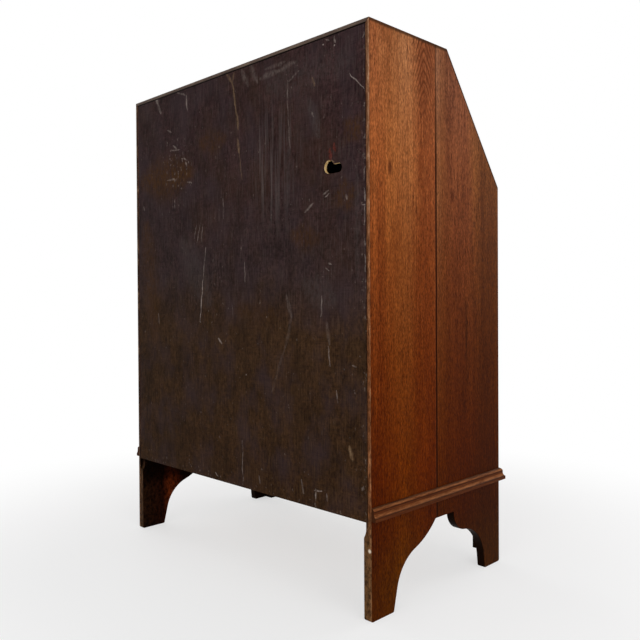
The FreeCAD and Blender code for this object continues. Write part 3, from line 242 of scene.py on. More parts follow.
def gable_oak(name, tones, across, figure, knot):
    """Stained oak with upright grain, as one gable board shows it from the foot to the top.
    Its tone changes across the board, at places counted in metres from half a metre ahead of the middle."""
    material, tree, shader, colour, grain = planed_wood(name, UPRIGHT, tones, (2.2, 18, 0.7), 0.45)
    place, axes, facing = lay_out(tree)
    # The open grain's short dashes, drawn nearly 2 mm wide so that they show
    stipple = grain_noise(tree, grain, 1.8, 5.5, 1.0)
    stippling = ramped(tree, stipple, [(0.34, "#bcbcbc"), (0.66, "#ffffff")])
    colour = shaded(tree, colour, stippling)
    from_ahead = reckon(tree, "ADD", axes["Y"], 0.5)
    sway = grain_noise(tree, grain, 60, 260, 2.0)
    swayed = reckon(tree, "MULTIPLY_ADD", sway, 50 * mm, from_ahead)
    across_tone = ramped(tree, swayed, across)
    colour = shaded(tree, colour, across_tone)
    if figure:
        # Pointed loops of the growth rings near the seam, 19 mm apart up the board
        loop_middle, loop_pitch, loop_round, loop_steepness = 61 * mm, 19 * mm, 7 * mm, 2.5
        off = reckon(tree, "SUBTRACT", axes["Y"], loop_middle)
        rounded = add(tree, "CombineXYZ", {"Y": loop_round}, {"X": off})
        aside = add(tree, "VectorMath", {"operation": "LENGTH"}, {0: rounded})
        drop = reckon(tree, "MULTIPLY", aside.outputs["Value"], loop_steepness)
        height = reckon(tree, "ADD", drop, axes["Z"])
        wander = grain_noise(tree, grain, 16, 60, 2.0)
        wandered = reckon(tree, "MULTIPLY_ADD", wander, 12 * mm, height)
        phase = reckon(tree, "MULTIPLY", wandered, 2 * math.pi / loop_pitch)
        wave = reckon(tree, "SINE", phase)
        line = ranged(tree, wave, -0.1, 0.95, 0.78)
        near = reckon(tree, "ABSOLUTE", off)
        beside = ranged(tree, near, 42 * mm, 20 * mm)
        above = ranged(tree, axes["Z"], 0.84, 0.97)
        where = reckon(tree, "MULTIPLY", beside, above)
        share = reckon(tree, "MULTIPLY", line, where)
        colour = tinted(tree, colour, share, "#54270f")
    else:
        # A strip of lighter sapwood by the seam, palest along its arris
        sap = ramped(
            tree, from_ahead,
            [(0.49, "#000000"), (0.524, "#5a3322"), (0.503, "#2c170d"), (0.519, "#2c170d")],
        )
        colour = add(
            tree, "MixRGB", {"blend_type": "SCREEN", "Fac": 0.8}, {"Color1": colour, "Color2": sap}
        )
        # Close growth rings below the middle show as a few dark lines
        close = soft_spot(tree, place, (0, -72, 445), (0, 22, 170), 0.2)
        ring = grain_noise(tree, grain, 5, 120, 2.0)
        ring_line = ranged(tree, ring, 0.46, 0.62, 0.65)
        ring_share = reckon(tree, "MULTIPLY", ring_line, close)
        colour = tinted(tree, colour, ring_share, "#33200f")
    # One knot or fleck in each board, drawn out along the grain
    knot_share = soft_spot(tree, place, knot, (0, 9, 24), 0.1, 0.75)
    colour = tinted(tree, colour, knot_share, "#4a1f10")
    # Darker and redder towards the floor
    floorward_tone = ramped(
        tree, axes["Z"],
        [
            (0.05, "#907a20"), (1.0, "#ffffff"), (0.14, "#8e681a"), (0.25, "#a47624"), (0.45, "#bc9860"),
            (0.65, "#dabf94"), (0.83, "#fdefd4"),
        ],
    )
    footed = shaded(tree, colour, floorward_tone)
    # Dirt in the open seam between the two boards
    seam_off = reckon(tree, "SUBTRACT", axes["Y"], SEAM)
    seam_near = reckon(tree, "ABSOLUTE", seam_off)
    seam_depth = ranged(tree, axes["Z"], 0.98, 0.82, 0.95, 0.5)
    seam_edge = {"From Min": 3.6 * mm, "From Max": 1.7 * mm}
    seam_dirt = add(tree, "MapRange", seam_edge, {"Value": seam_near, "To Max": seam_depth})
    seamed = tinted(tree, footed, seam_dirt, "#2a1208")
    # Polish has gathered along the top edge and the slope
    out_of_slope = (0, -math.sin(SLOPE), math.cos(SLOPE))
    slope_run = add(tree, "VectorMath", {"operation": "DOT_PRODUCT", 1: out_of_slope}, {0: place})
    at_slope = ranged(tree, slope_run.outputs["Value"], SLOPE_LINE - 6 * mm, SLOPE_LINE - 3 * mm, 0.85)
    at_top = ranged(tree, axes["Z"], 1040 * mm, 1043.5 * mm, 0.85)
    at_edge = reckon(tree, "MAXIMUM", at_slope, at_top)
    seamed = tinted(tree, seamed, at_edge, "#36200f")
    # The rear edge is rubbed, palest along its outer corner, and flecked where polish has chipped off
    turned_back = ranged(tree, facing["Y"], 0.3, 0.55)
    at_rear = reckon(tree, "GREATER_THAN", axes["Y"], 205 * mm)
    behind = reckon(tree, "MULTIPLY", turned_back, at_rear)
    rub = grain_noise(tree, place, 4, 22, 6.0, 0.75)
    outward = reckon(tree, "ABSOLUTE", axes["X"])
    corner = ranged(tree, outward, 371 * mm, 380.5 * mm, 0.1, -0.1)
    rub_sum = reckon(tree, "ADD", rub, corner)
    rubbed = ramped(
        tree, rub_sum, [(0.28, "#2c1d14"), (0.78, "#cda98a"), (0.42, "#5a3a26"), (0.58, "#8e6448")]
    )
    foot_rub = ranged(tree, axes["Z"], 1.0, 0.5, 0.75)
    foot_brown = {"blend_type": "MULTIPLY", "Color2": linear("#f4d2aa")}
    rubbed_low = add(tree, "MixRGB", foot_brown, {"Fac": foot_rub, "Color1": rubbed})
    foot_grey = ranged(tree, axes["Z"], 0.2, 0.13, 0.6)
    rubbed_low = tinted(tree, rubbed_low, foot_grey, "#705334")
    mottle = grain_noise(tree, place, 7, 11, 4.0, 0.7)
    mottle_depth = ramped(
        tree, axes["Z"], [(0.15, "#e2e2e2"), (0.75, "#7b7b7b"), (0.2, "#b4b4b4"), (0.3, "#b8b8b8")]
    )
    mottled = add(
        tree, "MapRange", {"From Min": 0.45, "From Max": 0.6}, {"Value": mottle, "To Max": mottle_depth}
    )
    rubbed_low = tinted(tree, rubbed_low, mottled, "#22160f")
    # A bare chip on the foot, and the other gable's rear edge, which kept its stain
    chip_middle = (-377 * mm, 218 * mm, 124 * mm)
    chip_far = add(tree, "VectorMath", {"operation": "DISTANCE", 1: chip_middle}, {0: place})
    chip_edge = ranged(tree, mottle, 0, 1, 1.5 * mm, 6.5 * mm)
    chip = add(
        tree, "MapRange", {"From Max": 1.5 * mm},
        {"Value": chip_far.outputs["Value"], "From Min": chip_edge},
    )
    chipped = tinted(tree, rubbed_low, chip, "#e3d2bc")
    other_gable = reckon(tree, "GREATER_THAN", axes["X"], 0.0)
    over_foot = ranged(tree, axes["Z"], 0.14, 0.17, 1.0, 0.6)
    kept_stain = reckon(tree, "MULTIPLY", other_gable, over_foot)
    dull_edge = ramped(tree, rub_sum, [(0.35, "#130a06"), (0.66, "#8a7058"), (0.53, "#38241a")])
    rear_edge = tinted(tree, chipped, kept_stain, dull_edge)
    edged = tinted(tree, seamed, behind, rear_edge)
    # Painted shade: the sawn edges of the feet are painted as dark as the shaded inside
    squarely = reckon(tree, "ABSOLUTE", facing["X"])
    sawn = ranged(tree, squarely, 0.75, 0.5)
    low = reckon(tree, "LESS_THAN", axes["Z"], 142 * mm)
    within_ends = reckon(tree, "COMPARE", axes["Y"], 0.0, 195 * mm)
    sawn_low = reckon(tree, "MULTIPLY", sawn, low)
    painted_sawn_shade = reckon(tree, "MULTIPLY", sawn_low, within_ends)
    dark_edged = tinted(tree, edged, painted_sawn_shade, "#160a05")
    # Painted shade: the inner faces below the drawers are painted nearly black, with a painted red glow by
    # the ogee of the rear foot
    inward = reckon(tree, "MULTIPLY", axes["X"], facing["X"])
    within = ranged(tree, inward, -200 * mm, -300 * mm)
    under = ranged(tree, axes["Z"], 0.2, 0.17)
    painted_shade_under = reckon(tree, "MULTIPLY", within, under)
    painted_shade_tone = ramped(
        tree, axes["Y"], [(0.1, "#200a04"), (0.21, "#2e1a0e"), (0.14, "#7e3616"), (0.16, "#32150a")]
    )
    smeared = ramped(tree, mottle, [(0.35, "#545454"), (0.65, "#ffffff")])
    painted_shade_tone = shaded(tree, painted_shade_tone, smeared)
    painted_glow_height = ramped(
        tree, axes["Z"],
        [(0.03, "#e8e8e8"), (0.17, "#707070"), (0.06, "#ffffff"), (0.1, "#ffffff"), (0.125, "#888888")],
    )
    painted_shade_tone = shaded(tree, painted_shade_tone, painted_glow_height)
    finished = tinted(tree, dark_edged, painted_shade_under, painted_shade_tone)
    paint(tree, shader, finished)
    shader.inputs["Specular IOR Level"].default_value = 0.018
    return material


# To the eye the rear board is a warm orange with dark flecks, the front one duller and redder
REAR_ACROSS = [
    (0.55, "#ecd4cc"), (0.745, "#dcc6b8"), (0.6, "#ecd6c8"), (0.64, "#ffffff"),
    (0.69, "#fff6e6"), (0.72, "#f0dacc"),
]
FRONT_ACROSS = [
    (0.32, "#e4dab8"), (0.55, "#ffffff"), (0.41, "#e6dac0"), (0.45, "#f2dcd6"),
    (0.5, "#f6e0da"), (0.53, "#fff2e0"),
]
rear_oak = gable_oak(
    "stained_oak_rear_board", ("#e49b64", "#bd794c", "#985a35", "#512914"), REAR_ACROSS, True,
    (0, 163, 796),
)
front_oak = gable_oak(
    "stained_oak_front_board", ("#ba7e57", "#9c6546", "#794a31", "#452316"), FRONT_ACROSS, False,
    (0, -28, 762),
)
for side in ("left", "right"):
    eased(f"gable_{side}_rear_board", GABLE_ARRIS, rear_oak)
    eased(f"gable_{side}_front_board", GABLE_ARRIS, front_oak)

# Top board: oak, mitred to the gables and cut to the slope in front. Its rear edge shows above
# the back panel, stained as dark as the panel, with a painted shadow line along its foot.
TOP_ARRIS = 1.0 * mm
ALONG_X = (0, math.radians(90), 0)
# To the eye it is brown waxed oak, and behind a grey strip with a painted shadow line under it
top_oak, tree, shader, colour, _ = planed_wood(
    "stained_oak_top", ALONG_X, ("#a0602f", "#8a4f2a", "#6b381d", "#46210f"), (1.5, 26, 0.5), 0.4
)
place, axes, facing = lay_out(tree)
behind = ranged(tree, facing["Y"], 0.5, 0.8)
GREY_STREAK = (1 / (60 * mm), 1 / (4 * mm), 1 / (4 * mm))
grey_place = add(tree, "Mapping", {"Scale": GREY_STREAK}, {"Vector": place})
grey = add(tree, "TexNoise", {"Scale": 1.0, "Detail": 5.0, "Roughness": 0.7}, {"Vector": grey_place})
grey_tone = ramped(tree, grey, [(0.3, "#382c26"), (0.75, "#80705f"), (0.5, "#584941")])
edged = tinted(tree, colour, behind, grey_tone)
at_rear = reckon(tree, "GREATER_THAN", axes["Y"], 210 * mm)
# Painted shadow: a black line low on the rear edge, for the shadow in the gap between the top and the panel
painted_shadow_line = ranged(tree, axes["Z"], 1042.3 * mm, 1040.8 * mm)
painted_shadow_share = reckon(tree, "MULTIPLY", at_rear, painted_shadow_line)
shadow_lined = tinted(tree, edged, painted_shadow_share, "#0d0907")
paint(tree, shader, shadow_lined)
eased("top_board", TOP_ARRIS, top_oak)

# Back panel: one sheet of plywood, stained nearly black and let into the rebates. Years against a
# wall and under moving hands have left grey scuffs, brown bare patches and pale scratches, and
# whoever bored the cable slot left its walls raw. Over this it carries painted sheen in grey patches,
# and painted light that makes it lighter towards the near gable.

# One scratch: how far a point of the panel is inside a line from its start to its end
scratch = bpy.data.node_groups.new("scratch", "ShaderNodeTree")
for name in ("Place", "Start", "End"):
    scratch.interface.new_socket(name, in_out="INPUT", socket_type="NodeSocketVector")
for name in ("Width", "Depth"):
    scratch.interface.new_socket(name, in_out="INPUT", socket_type="NodeSocketFloat")
scratch.interface.new_socket("Share", in_out="OUTPUT", socket_type="NodeSocketFloat")
given = scratch.nodes.new("NodeGroupInput").outputs
run = add(scratch, "VectorMath", {"operation": "SUBTRACT"}, {0: given["End"], 1: given["Start"]})
reach = add(scratch, "VectorMath", {"operation": "SUBTRACT"}, {0: given["Place"], 1: given["Start"]})
along = add(scratch, "VectorMath", {"operation": "DOT_PRODUCT"}, {0: reach, 1: run}).outputs["Value"]
whole = add(scratch, "VectorMath", {"operation": "DOT_PRODUCT"}, {0: run, 1: run}).outputs["Value"]
part = add(scratch, "Math", {"operation": "DIVIDE", "use_clamp": True}, {0: along, 1: whole})
foot = add(scratch, "VectorMath", {"operation": "SCALE"}, {0: run, "Scale": part})
off = add(scratch, "VectorMath", {"operation": "DISTANCE"}, {0: reach, 1: foot})
# It thins out towards both ends
from_middle = ranged(scratch, part, 0, 1, 1.0, -1.0)
spread = reckon(scratch, "MULTIPLY", from_middle, from_middle)
taper = ranged(scratch, spread, 0, 1, 0.45, 1.0)
thinned = reckon(scratch, "MULTIPLY", given["Width"], taper)
inside = add(
    scratch, "MapRange", {"From Max": 0.0, "interpolation_type": "SMOOTHERSTEP"},
    {"Value": off.outputs["Value"], "From Min": thinned, "To Max": given["Depth"]},
)
scratch.links.new(inside.outputs[0], scratch.nodes.new("NodeGroupOutput").inputs["Share"])

# The marks that stand out, each from x, z to x, z on the panel, with its width and how bright it is
MARKS = [
    # drips under the top edge, on the sitter's right
    (291, 1044, 281, 1028, 10, 0.5), (281, 1028, 271, 1003, 7, 0.5), (199, 1038, 165, 1024, 5, 0.25),
    (165, 1024, 160, 989, 6, 0.42),
    # a grey swirl left of the middle, where something was wiped, and the thin line below it
    (-33, 1036, -53, 1001, 13, 0.13), (-61, 1040, -84, 999, 13, 0.13), (-92, 1005, -152, 1008, 12, 0.14),
    (-152, 1008, -195, 1015, 12, 0.15), (-108, 1018, -167, 1022, 8, 0.12), (-177, 981, -205, 994, 5, 0.2),
    (-174, 984, -174, 917, 3, 0.25), (-174, 917, -179, 854, 2.5, 0.25),
    (-299, 1021, -299.5, 1019, 4, 0.85), (-270, 1028, -270.5, 1026, 4, 0.85),
    (-276, 1035, -286, 1031, 4, 0.35), (-299, 1034, -301, 1024, 4, 0.35),
    (-335, 961, -369, 927, 2.2, 0.55), (-238, 912, -243, 901, 5, 0.3),
    # nicks on the sitter's right, half-way up
    (242, 960, 226, 952, 4, 0.35), (219, 920, 205, 912, 4, 0.4), (232, 910, 191, 907, 3.5, 0.35),
    (186, 885, 164, 878, 4, 0.4), (170, 875, 162, 862, 4, 0.35), (243, 843, 217, 843, 4.5, 0.35),
    (164, 829, 147, 825, 4.5, 0.4), (348, 792, 343, 781, 4, 0.4),
    (215, 795, 213, 775, 2.5, 0.4), (31, 788, 30, 735, 2.5, 0.35),
    # long scratches in the middle
    (130, 727, 137, 700, 2.4, 0.35), (116, 728, 128, 690, 2.4, 0.4), (105, 729, 112, 689, 2.4, 0.35),
    (95, 678, 106, 607, 2.6, 0.5), (106, 607, 119, 516, 3.2, 0.7), (121, 515, 117, 514, 4, 0.6),
    (52, 480, 40, 468, 5, 0.7), (3, 552, 1, 530, 2.8, 0.4), (-39, 641, -40, 600, 3, 0.35),
    # a long faint crack right of the middle, and the dashes beside it
    (-167, 571, -181, 526, 9, 0.12), (-181, 526, -161, 467, 9, 0.09), (-161, 467, -121, 380, 7, 0.06),
    (-263, 569, -261, 530, 4, 0.35), (-275, 521, -282, 479, 9, 0.11), (-278, 477, -284, 439, 3, 0.45),
    (-300, 398, -302, 375, 2.8, 0.35), (-338, 445, -349, 443, 3, 0.35), (287, 531, 283, 508, 5, 0.22),
    # below and beside the cable slot
    (-267, 753, -281, 761, 3.5, 0.45), (-272, 748, -284, 755, 2.5, 0.4), (-219, 726, -241, 742, 4.5, 0.35),
    (-326, 748, -328, 739, 6, 0.35), (-280, 629, -287, 627, 3.5, 0.5), (-273, 620, -283, 615, 3, 0.45),
    # bare glue and splinters along the edge by the near gable
    (-370, 792, -369, 768, 2.5, 0.5), (-368, 755, -370, 732, 3, 0.6), (-370, 726, -369, 690, 2.5, 0.45),
    (-364, 727, -370, 725, 2.5, 0.5), (-369, 640, -370, 610, 2.5, 0.4),
    # nicks along the bottom edge
    (-41, 409, -43, 407, 4, 0.35), (119, 316, 117, 314, 4, 0.35), (-28, 270, -28, 179, 2.8, 0.35),
    (66, 188, 57, 181, 3, 0.5), (-239, 205, -260, 209, 3.5, 0.5), (-244, 209, -244, 186, 3.5, 0.55),
    (-206, 219, -212, 194, 5, 0.3), (-81, 205, -84, 191, 3.5, 0.35), (-272, 205, -275, 190, 4, 0.35),
]
# The golden scuff below the middle of the top, and where the polish has rubbed off to the wood
GOLDEN = [
    (18, 1040, -3, 1016, 8, 0.4), (-9, 1036, -2, 1016, 6, 0.4), (-2, 1016, -15, 957, 6.5, 0.55),
    (-15, 957, -21, 915, 7, 0.6), (-19, 899, -24, 868, 10, 0.6), (-24, 868, -32, 810, 3.5, 0.3),
    (-242, 974, -247, 958, 7, 0.4), (-331, 300, -337, 276, 9, 0.7),
    (-297, 810, -288, 815, 3, 0.9), (-288, 816, -276, 814, 2.4, 0.8),
]
# Brown wood showing through, wide and faint: on the sitter's right, along that edge and by the slot
BROWNED = [
    (340, 852, 160, 850, 100, 0.95), (335, 740, 300, 480, 75, 0.6), (-190, 685, -245, 675, 60, 0.6),
    (-20, 540, -140, 530, 60, 0.4), (105, 905, 30, 905, 60, 0.6), (-332, 872, -352, 850, 60, 0.7),
    (-318, 765, -330, 730, 65, 0.7),
]
# Painted sheen: grey hazy patches that stand in for the broad pale sheen of the finish
SHEEN_HAZE = [
    (-232, 936, -258, 862, 24, 0.5), (-176, 905, -172, 733, 14, 0.35), (-352, 780, -352, 600, 14, 0.35),
    (-120, 985, -330, 985, 70, 0.3), (180, 690, 90, 560, 80, 0.35), (-220, 590, -290, 560, 60, 0.35),
]
# A reddish stain above the slot
REDDENED = [(-286, 835, -288, 815, 8, 0.8), (-296, 843, -298, 829, 7, 0.6)]
# Marks end softly, so they are drawn a little narrower than they are listed
MARK_WIDTH = 0.85


def scuffed_plywood(name, low, high):
    """The stained sheet between two heights in millimetres, with the marks that reach into them.
    To the eye it is nearly black and matt, purple above and olive brown below."""
    ply, tree, shader = new_finish(name, {"Roughness": 0.6, "IOR": 1.5, "Specular IOR Level": 0.02})
    place, axes, facing = lay_out(tree)
    # Purple black above, olive brown below, with a wandering border
    patch = grain_noise(tree, place, 120, 190, 4.0, 0.6)
    border = reckon(tree, "MULTIPLY_ADD", patch, 0.3, axes["Z"])
    faded = ramped(
        tree, border, [(0.35, "#442d1b"), (1.0, "#402b2b"), (0.66, "#46301f"), (0.76, "#402f2e")]
    )
    # Lighter towards the near gable: painted light falling across the panel, with its haze of dust
    near_side_light_and_haze = ranged(tree, axes["X"], 371 * mm, -371 * mm, 1.32, 0.96)
    faded = add(tree, "VectorMath", {"operation": "SCALE"}, {0: faded, "Scale": near_side_light_and_haze})
    stain = grain_noise(tree, place, 34, 70, 6.0, 0.7)
    mottle = ramped(tree, stain, [(0.25, "#929292"), (0.75, "#ffffff"), (0.5, "#d2d2d2")])
    stained = shaded(tree, faded, mottle)
    blotch = grain_noise(tree, place, 5, 7, 2.0, 0.7)
    blotches = ramped(tree, blotch, [(0.32, "#9e9e9e"), (0.68, "#ffffff")])
    stained = shaded(tree, stained, blotches)
    patch_share = ranged(tree, patch, 0.47, 0.66, 0.3)
    browned = tinted(tree, stained, patch_share, "#3c281a")
    # Clouds of the purple stain that are left everywhere
    cloud = grain_noise(tree, place, 75, 105, 3.0, 0.6)
    cloud_share = ranged(tree, cloud, 0.45, 0.68, 0.6)
    browned = tinted(tree, browned, cloud_share, "#33272a")
    # Fine upright and level hairlines of the veneer, drawn 2 mm wide so that they show
    hair = grain_noise(tree, place, 2.0, 45, 2.0)
    hair_share = ranged(tree, hair, 0.5, 0.72, 0.3)
    hair_tone = ramped(tree, border, [(0.66, "#63492f"), (0.76, "#5c4f49")])
    haired = tinted(tree, browned, hair_share, hair_tone)
    level_lines = (1 / (40 * mm), 1, 1 / (2.2 * mm))
    cross_place = add(tree, "Mapping", {"Scale": level_lines}, {"Vector": place})
    cross = add(tree, "TexNoise", {"Scale": 1.0, "Detail": 2.0}, {"Vector": cross_place})
    cross_share = ranged(tree, cross, 0.52, 0.75, 0.35)
    crossed = tinted(tree, haired, cross_share, "#171010")
    # Grey rubbed streaks over the middle and the right of the upper half
    rub = grain_noise(tree, place, 6, 240, 4.0, 0.6)
    rub_line = ranged(tree, rub, 0.5, 0.72, 0.65)
    rub_near = soft_spot(tree, place, (-135, 0, 830), (95, 0, 160), 0.35)
    rub_share = reckon(tree, "MULTIPLY", rub_line, rub_near)
    rubbed = tinted(tree, crossed, rub_share, "#5f5653")
    # Places flattened onto the panel, which sway by some millimetres so that no mark is ruled straight
    sway = grain_noise(tree, place, 22, 22, 3.0)
    wobble = {"operation": "MULTIPLY_ADD", 1: (9 * mm, 0, 9 * mm)}
    swayed = add(tree, "VectorMath", wobble, {0: sway.outputs["Color"], 2: place})
    flatten = {"operation": "MULTIPLY_ADD", 1: (1, 0, 1), 2: (-4.5 * mm, 0, -4.5 * mm)}
    flat = add(tree, "VectorMath", flatten, {0: swayed})
    # Marks are broken into dashes and lie on the outside only
    breaks = grain_noise(tree, place, 4, 9, 4.0, 0.7)
    broken = ranged(tree, breaks, 0.36, 0.64, 1.0, 0.05)
    outside = reckon(tree, "GREATER_THAN", facing["Y"], 0.5)
    broken = reckon(tree, "MULTIPLY", broken, outside)
    scratched = rubbed
    # The grey patches laid on here are painted sheen; the other lists are marks in the finish
    for tone, marks in (
        (
            "#42290f", BROWNED), ("#4a4341", SHEEN_HAZE), ("#7a2c1c", REDDENED), ("#b0a198",
            MARKS), ("#8a7054", GOLDEN,
        )
    ):
        marked = None
        for x, z, end_x, end_z, width, depth in marks:
            if max(z, end_z) + width < low or min(z, end_z) - width > high:
                continue
            ends = {"Start": (x * mm, 0, z * mm), "End": (end_x * mm, 0, end_z * mm)}
            size = {"Width": width * MARK_WIDTH * mm, "Depth": depth}
            mark = add(tree, "Group", {"node_tree": scratch, **ends, **size}, {"Place": flat})
            marked = mark if marked is None else reckon(tree, "MAXIMUM", marked, mark)
        if marked is None:
            continue
        mark_share = add(
            tree, "Math", {"operation": "MULTIPLY", "use_clamp": True}, {0: marked, 1: broken}
        )
        scratched = tinted(tree, scratched, mark_share, tone)
    # Small specks all over, as dust and chips catch the light
    speck = grain_noise(tree, place, 6, 9, 2.0)
    # They are thick half-way up on the sitter's right, and along the near and the bottom edges
    nicked_middle = (200 * mm, 0, 875 * mm)
    nicked_far = add(tree, "VectorMath", {"operation": "DISTANCE", 1: nicked_middle}, {0: flat})
    nicked = ranged(tree, nicked_far.outputs["Value"], 95 * mm, 20 * mm)
    by_gable = ranged(tree, axes["X"], -354 * mm, -370 * mm)
    by_foot = ranged(tree, axes["Z"], 205 * mm, 165 * mm)
    thick = reckon(tree, "MAXIMUM", nicked, by_gable)
    thickest = reckon(tree, "MAXIMUM", thick, by_foot)
    raised = reckon(tree, "MULTIPLY_ADD", thickest, 0.115, speck)
    speck_share = ranged(tree, raised, 0.7, 0.84, 0.4)
    specked = tinted(tree, scratched, speck_share, "#8d7f76")
    # Raw wood on the walls of the slot
    squarely = reckon(tree, "ABSOLUTE", facing["Y"])
    wall = ranged(tree, squarely, 0.6, 0.3)
    slot_middle, slot_reach = (-296 * mm, 0, 803 * mm), 34 * mm
    slot_far = add(tree, "VectorMath", {"operation": "DISTANCE", 1: slot_middle}, {0: flat})
    slot_near = reckon(tree, "LESS_THAN", slot_far.outputs["Value"], slot_reach)
    raw_share = reckon(tree, "MULTIPLY", wall, slot_near)
    raw = ramped(tree, breaks, [(0.35, "#dcac62"), (0.65, "#ffe8b4")])
    slotted = tinted(tree, specked, raw_share, raw)
    paint(tree, shader, slotted)
    dents = add(tree, "Bump", {"Strength": 0.2, "Distance": 0.4 * mm}, {"Height": stain})
    tree.links.new(dents.outputs[0], shader.inputs["Normal"])
    return ply


# There are too many marks for one material, so the sheet has one for each of four heights
SHEET_CUTS = (0, 560, 760, 900, 1048)
back = eased("back_panel", 0, scuffed_plywood("dark_stained_plywood_0", *SHEET_CUTS[:2]))
for number, height in enumerate(SHEET_CUTS[1:-1], start=1):
    bpy.ops.object.mode_set(mode="EDIT")
    bpy.ops.mesh.select_all(action="SELECT")
    bpy.ops.mesh.bisect(plane_co=(0, 0, height * mm), plane_no=(0, 0, 1))
    bpy.ops.object.mode_set(mode="OBJECT")
    zone = scuffed_plywood(f"dark_stained_plywood_{number}", height, SHEET_CUTS[number + 1])
    back.data.materials.append(zone)
    for face in back.data.polygons:
        if face.center.z > height * mm:
            face.material_index = number

# Inner boards: oak desk, shelf, dividers and tray, and the softwood that only holds things up.
# They are planed and glued into housings.
ALONG_Y = (math.radians(90), 0, 0)
# To the eye the inner oak is honey brown, the linings are pale and dry, the softwood is a dull tan
INNER_OAK = (("#b07a45", "#9c6637", "#7d4d27", "#563016"), (1.2, 22, 0.4), 0.45)
LINING = (("#c9a578", "#b98f60", "#9d7448", "#7a5530"), (1.0, 18, 0.3), 0.6)
SOFTWOOD = (("#b08a5a", "#9c7547", "#7f5a33", "#5f4022"), (2.0, 60, 0.3), 0.7)
inner_x, *_ = planed_wood("waxed_inner_oak_across", ALONG_X, *INNER_OAK)
inner_z, *_ = planed_wood("waxed_inner_oak_upright", UPRIGHT, *INNER_OAK)
lining_x, *_ = planed_wood("bare_lining_across", ALONG_X, *LINING)
lining_y, *_ = planed_wood("bare_lining_lengthwise", ALONG_Y, *LINING)
soft_x, *_ = planed_wood("sawn_softwood_across", ALONG_X, *SOFTWOOD)
soft_y, *_ = planed_wood("sawn_softwood_lengthwise", ALONG_Y, *SOFTWOOD)
INNER_ARRIS = 0.6 * mm


def long_arris(least):
    """Picks the edges of a board that are at least so long, and leaves its joints and holes sharp."""
    return lambda middle, length: length > least


eased("stationery_shelf", INNER_ARRIS, inner_x)
eased("tray_front", INNER_ARRIS, inner_x, long_arris(30 * mm))
for name in ("pigeonhole_dividers", "tray_partitions"):
    eased(name, INNER_ARRIS, inner_z)
for name in ("tray_sides", "drawer_bottom_sides", "drawer_middle_sides", "drawer_top_sides"):
    eased(name, 0, lining_y)
for name in ("tray_back", "tray_floor"):
    eased(name, INNER_ARRIS, lining_x)
for level in ("bottom", "middle", "top"):
    eased(f"drawer_{level}_back", INNER_ARRIS, lining_x)
    eased(f"drawer_{level}_floor", INNER_ARRIS, lining_x)
for name in ("bottom_board", "drawer_stops", "fall_stop"):
    eased(name, INNER_ARRIS, soft_x)
eased("drawer_runners", INNER_ARRIS, soft_y)
# Painted shade: the glue blocks are painted nearly black and dull, as they stand in shade inside the
# carcase
GLUE_BLOCK_SHADE = (("#2a1a10", "#211309", "#170c06", "#0d0603"), (2.0, 40, 0.4), 0.8)
shaded_block, *_ = planed_wood("softwood_painted_shade", UPRIGHT, *GLUE_BLOCK_SHADE)
eased("glue_blocks", INNER_ARRIS, shaded_block)

# Base moulding, apron, rails, lopers and drawer fronts: oak, stained and waxed to match the gables.
# The moulding is run in three lengths, mitred at the front corners and glued on; the rails and the
# apron are set between the gables, and the lopers slide beside the top drawer.
RAIL_ARRIS, MOULDING_ARRIS, FACE_ARRIS = 0.5 * mm, 0.4 * mm, 0.8 * mm
# To the eye it is a dark red brown with long grain and a low sheen
FRONT_OAK = (("#8f5530", "#7d4727", "#5f321c", "#3f1d0e"), (1.5, 26, 0.5), 0.4)
LOPER_OAK = (("#8f5a3a", "#75452b", "#572d1b", "#3a1b0f"), (1.5, 26, 0.5), 0.4)
front_x, *_ = planed_wood("stained_oak_front", ALONG_X, *FRONT_OAK)
front_y, *_ = planed_wood("stained_oak_lengthwise", ALONG_Y, *LOPER_OAK)
for name in ("loper_left", "loper_right"):
    eased(name, RAIL_ARRIS, front_y)
eased("drawer_rails", RAIL_ARRIS, front_x)
# The apron is stained in front only, and painted black on its other faces as painted shade under the
# carcase
apron_oak, tree, shader, colour, _ = planed_wood("stained_oak_apron", ALONG_X, *FRONT_OAK)
*_, facing = lay_out(tree)
behind = ranged(tree, facing["Y"], -0.75, -0.5)
painted_shade_behind = tinted(tree, colour, behind, "#150a05")
paint(tree, shader, painted_shade_behind)
eased("front_apron", RAIL_ARRIS, apron_oak)


def moulding_oak(name, turn):
    """Stained oak of the moulding: dark in its upright faces and paler where it faces up, with painted
    light from above broken up by wear.
    """
    material, tree, shader, colour, grain = planed_wood(
        name, turn, ("#6a3616", "#582a10", "#421c08", "#290f04"), (1.6, 30, 0.5), 0.5
    )
    _, axes, facing = lay_out(tree)
    # Painted light: the faces that look up are painted paler, as light falls on them from above; the wear
    # pattern breaks it up
    raised = ranged(tree, facing["Z"], 0.05, 0.5)
    wear = grain_noise(tree, grain, 3, 26, 5.0, 0.7)
    worn = ranged(tree, wear, 0.35, 0.65, 0.9)
    share = reckon(tree, "MULTIPLY", raised, worn)
    rubbed = tinted(tree, colour, share, "#a0663c")
    streaks = ranged(tree, wear, 0.55, 0.75, 0.5)
    streaked = tinted(tree, rubbed, streaks, "#8a522e")
    # Painted shade: dark lines in the quirk, under the rounded top and against the gable, where shade falls
    # in the creases
    for height, reach in ((182.6, 0.9), (193.2, 0.8), (200, 1.6)):
        off = reckon(tree, "SUBTRACT", axes["Z"], height * mm)
        near = reckon(tree, "ABSOLUTE", off)
        line = ranged(tree, near, 2 * reach * mm, 0.5 * reach * mm, 0.8)
        streaked = tinted(tree, streaked, line, "#2a1106")
    # Its cut ends behind are dark
    cut_end = ranged(tree, facing["Y"], 0.5, 0.8)
    ended = tinted(tree, streaked, cut_end, "#3a1d0d")
    paint(tree, shader, ended)
    return material


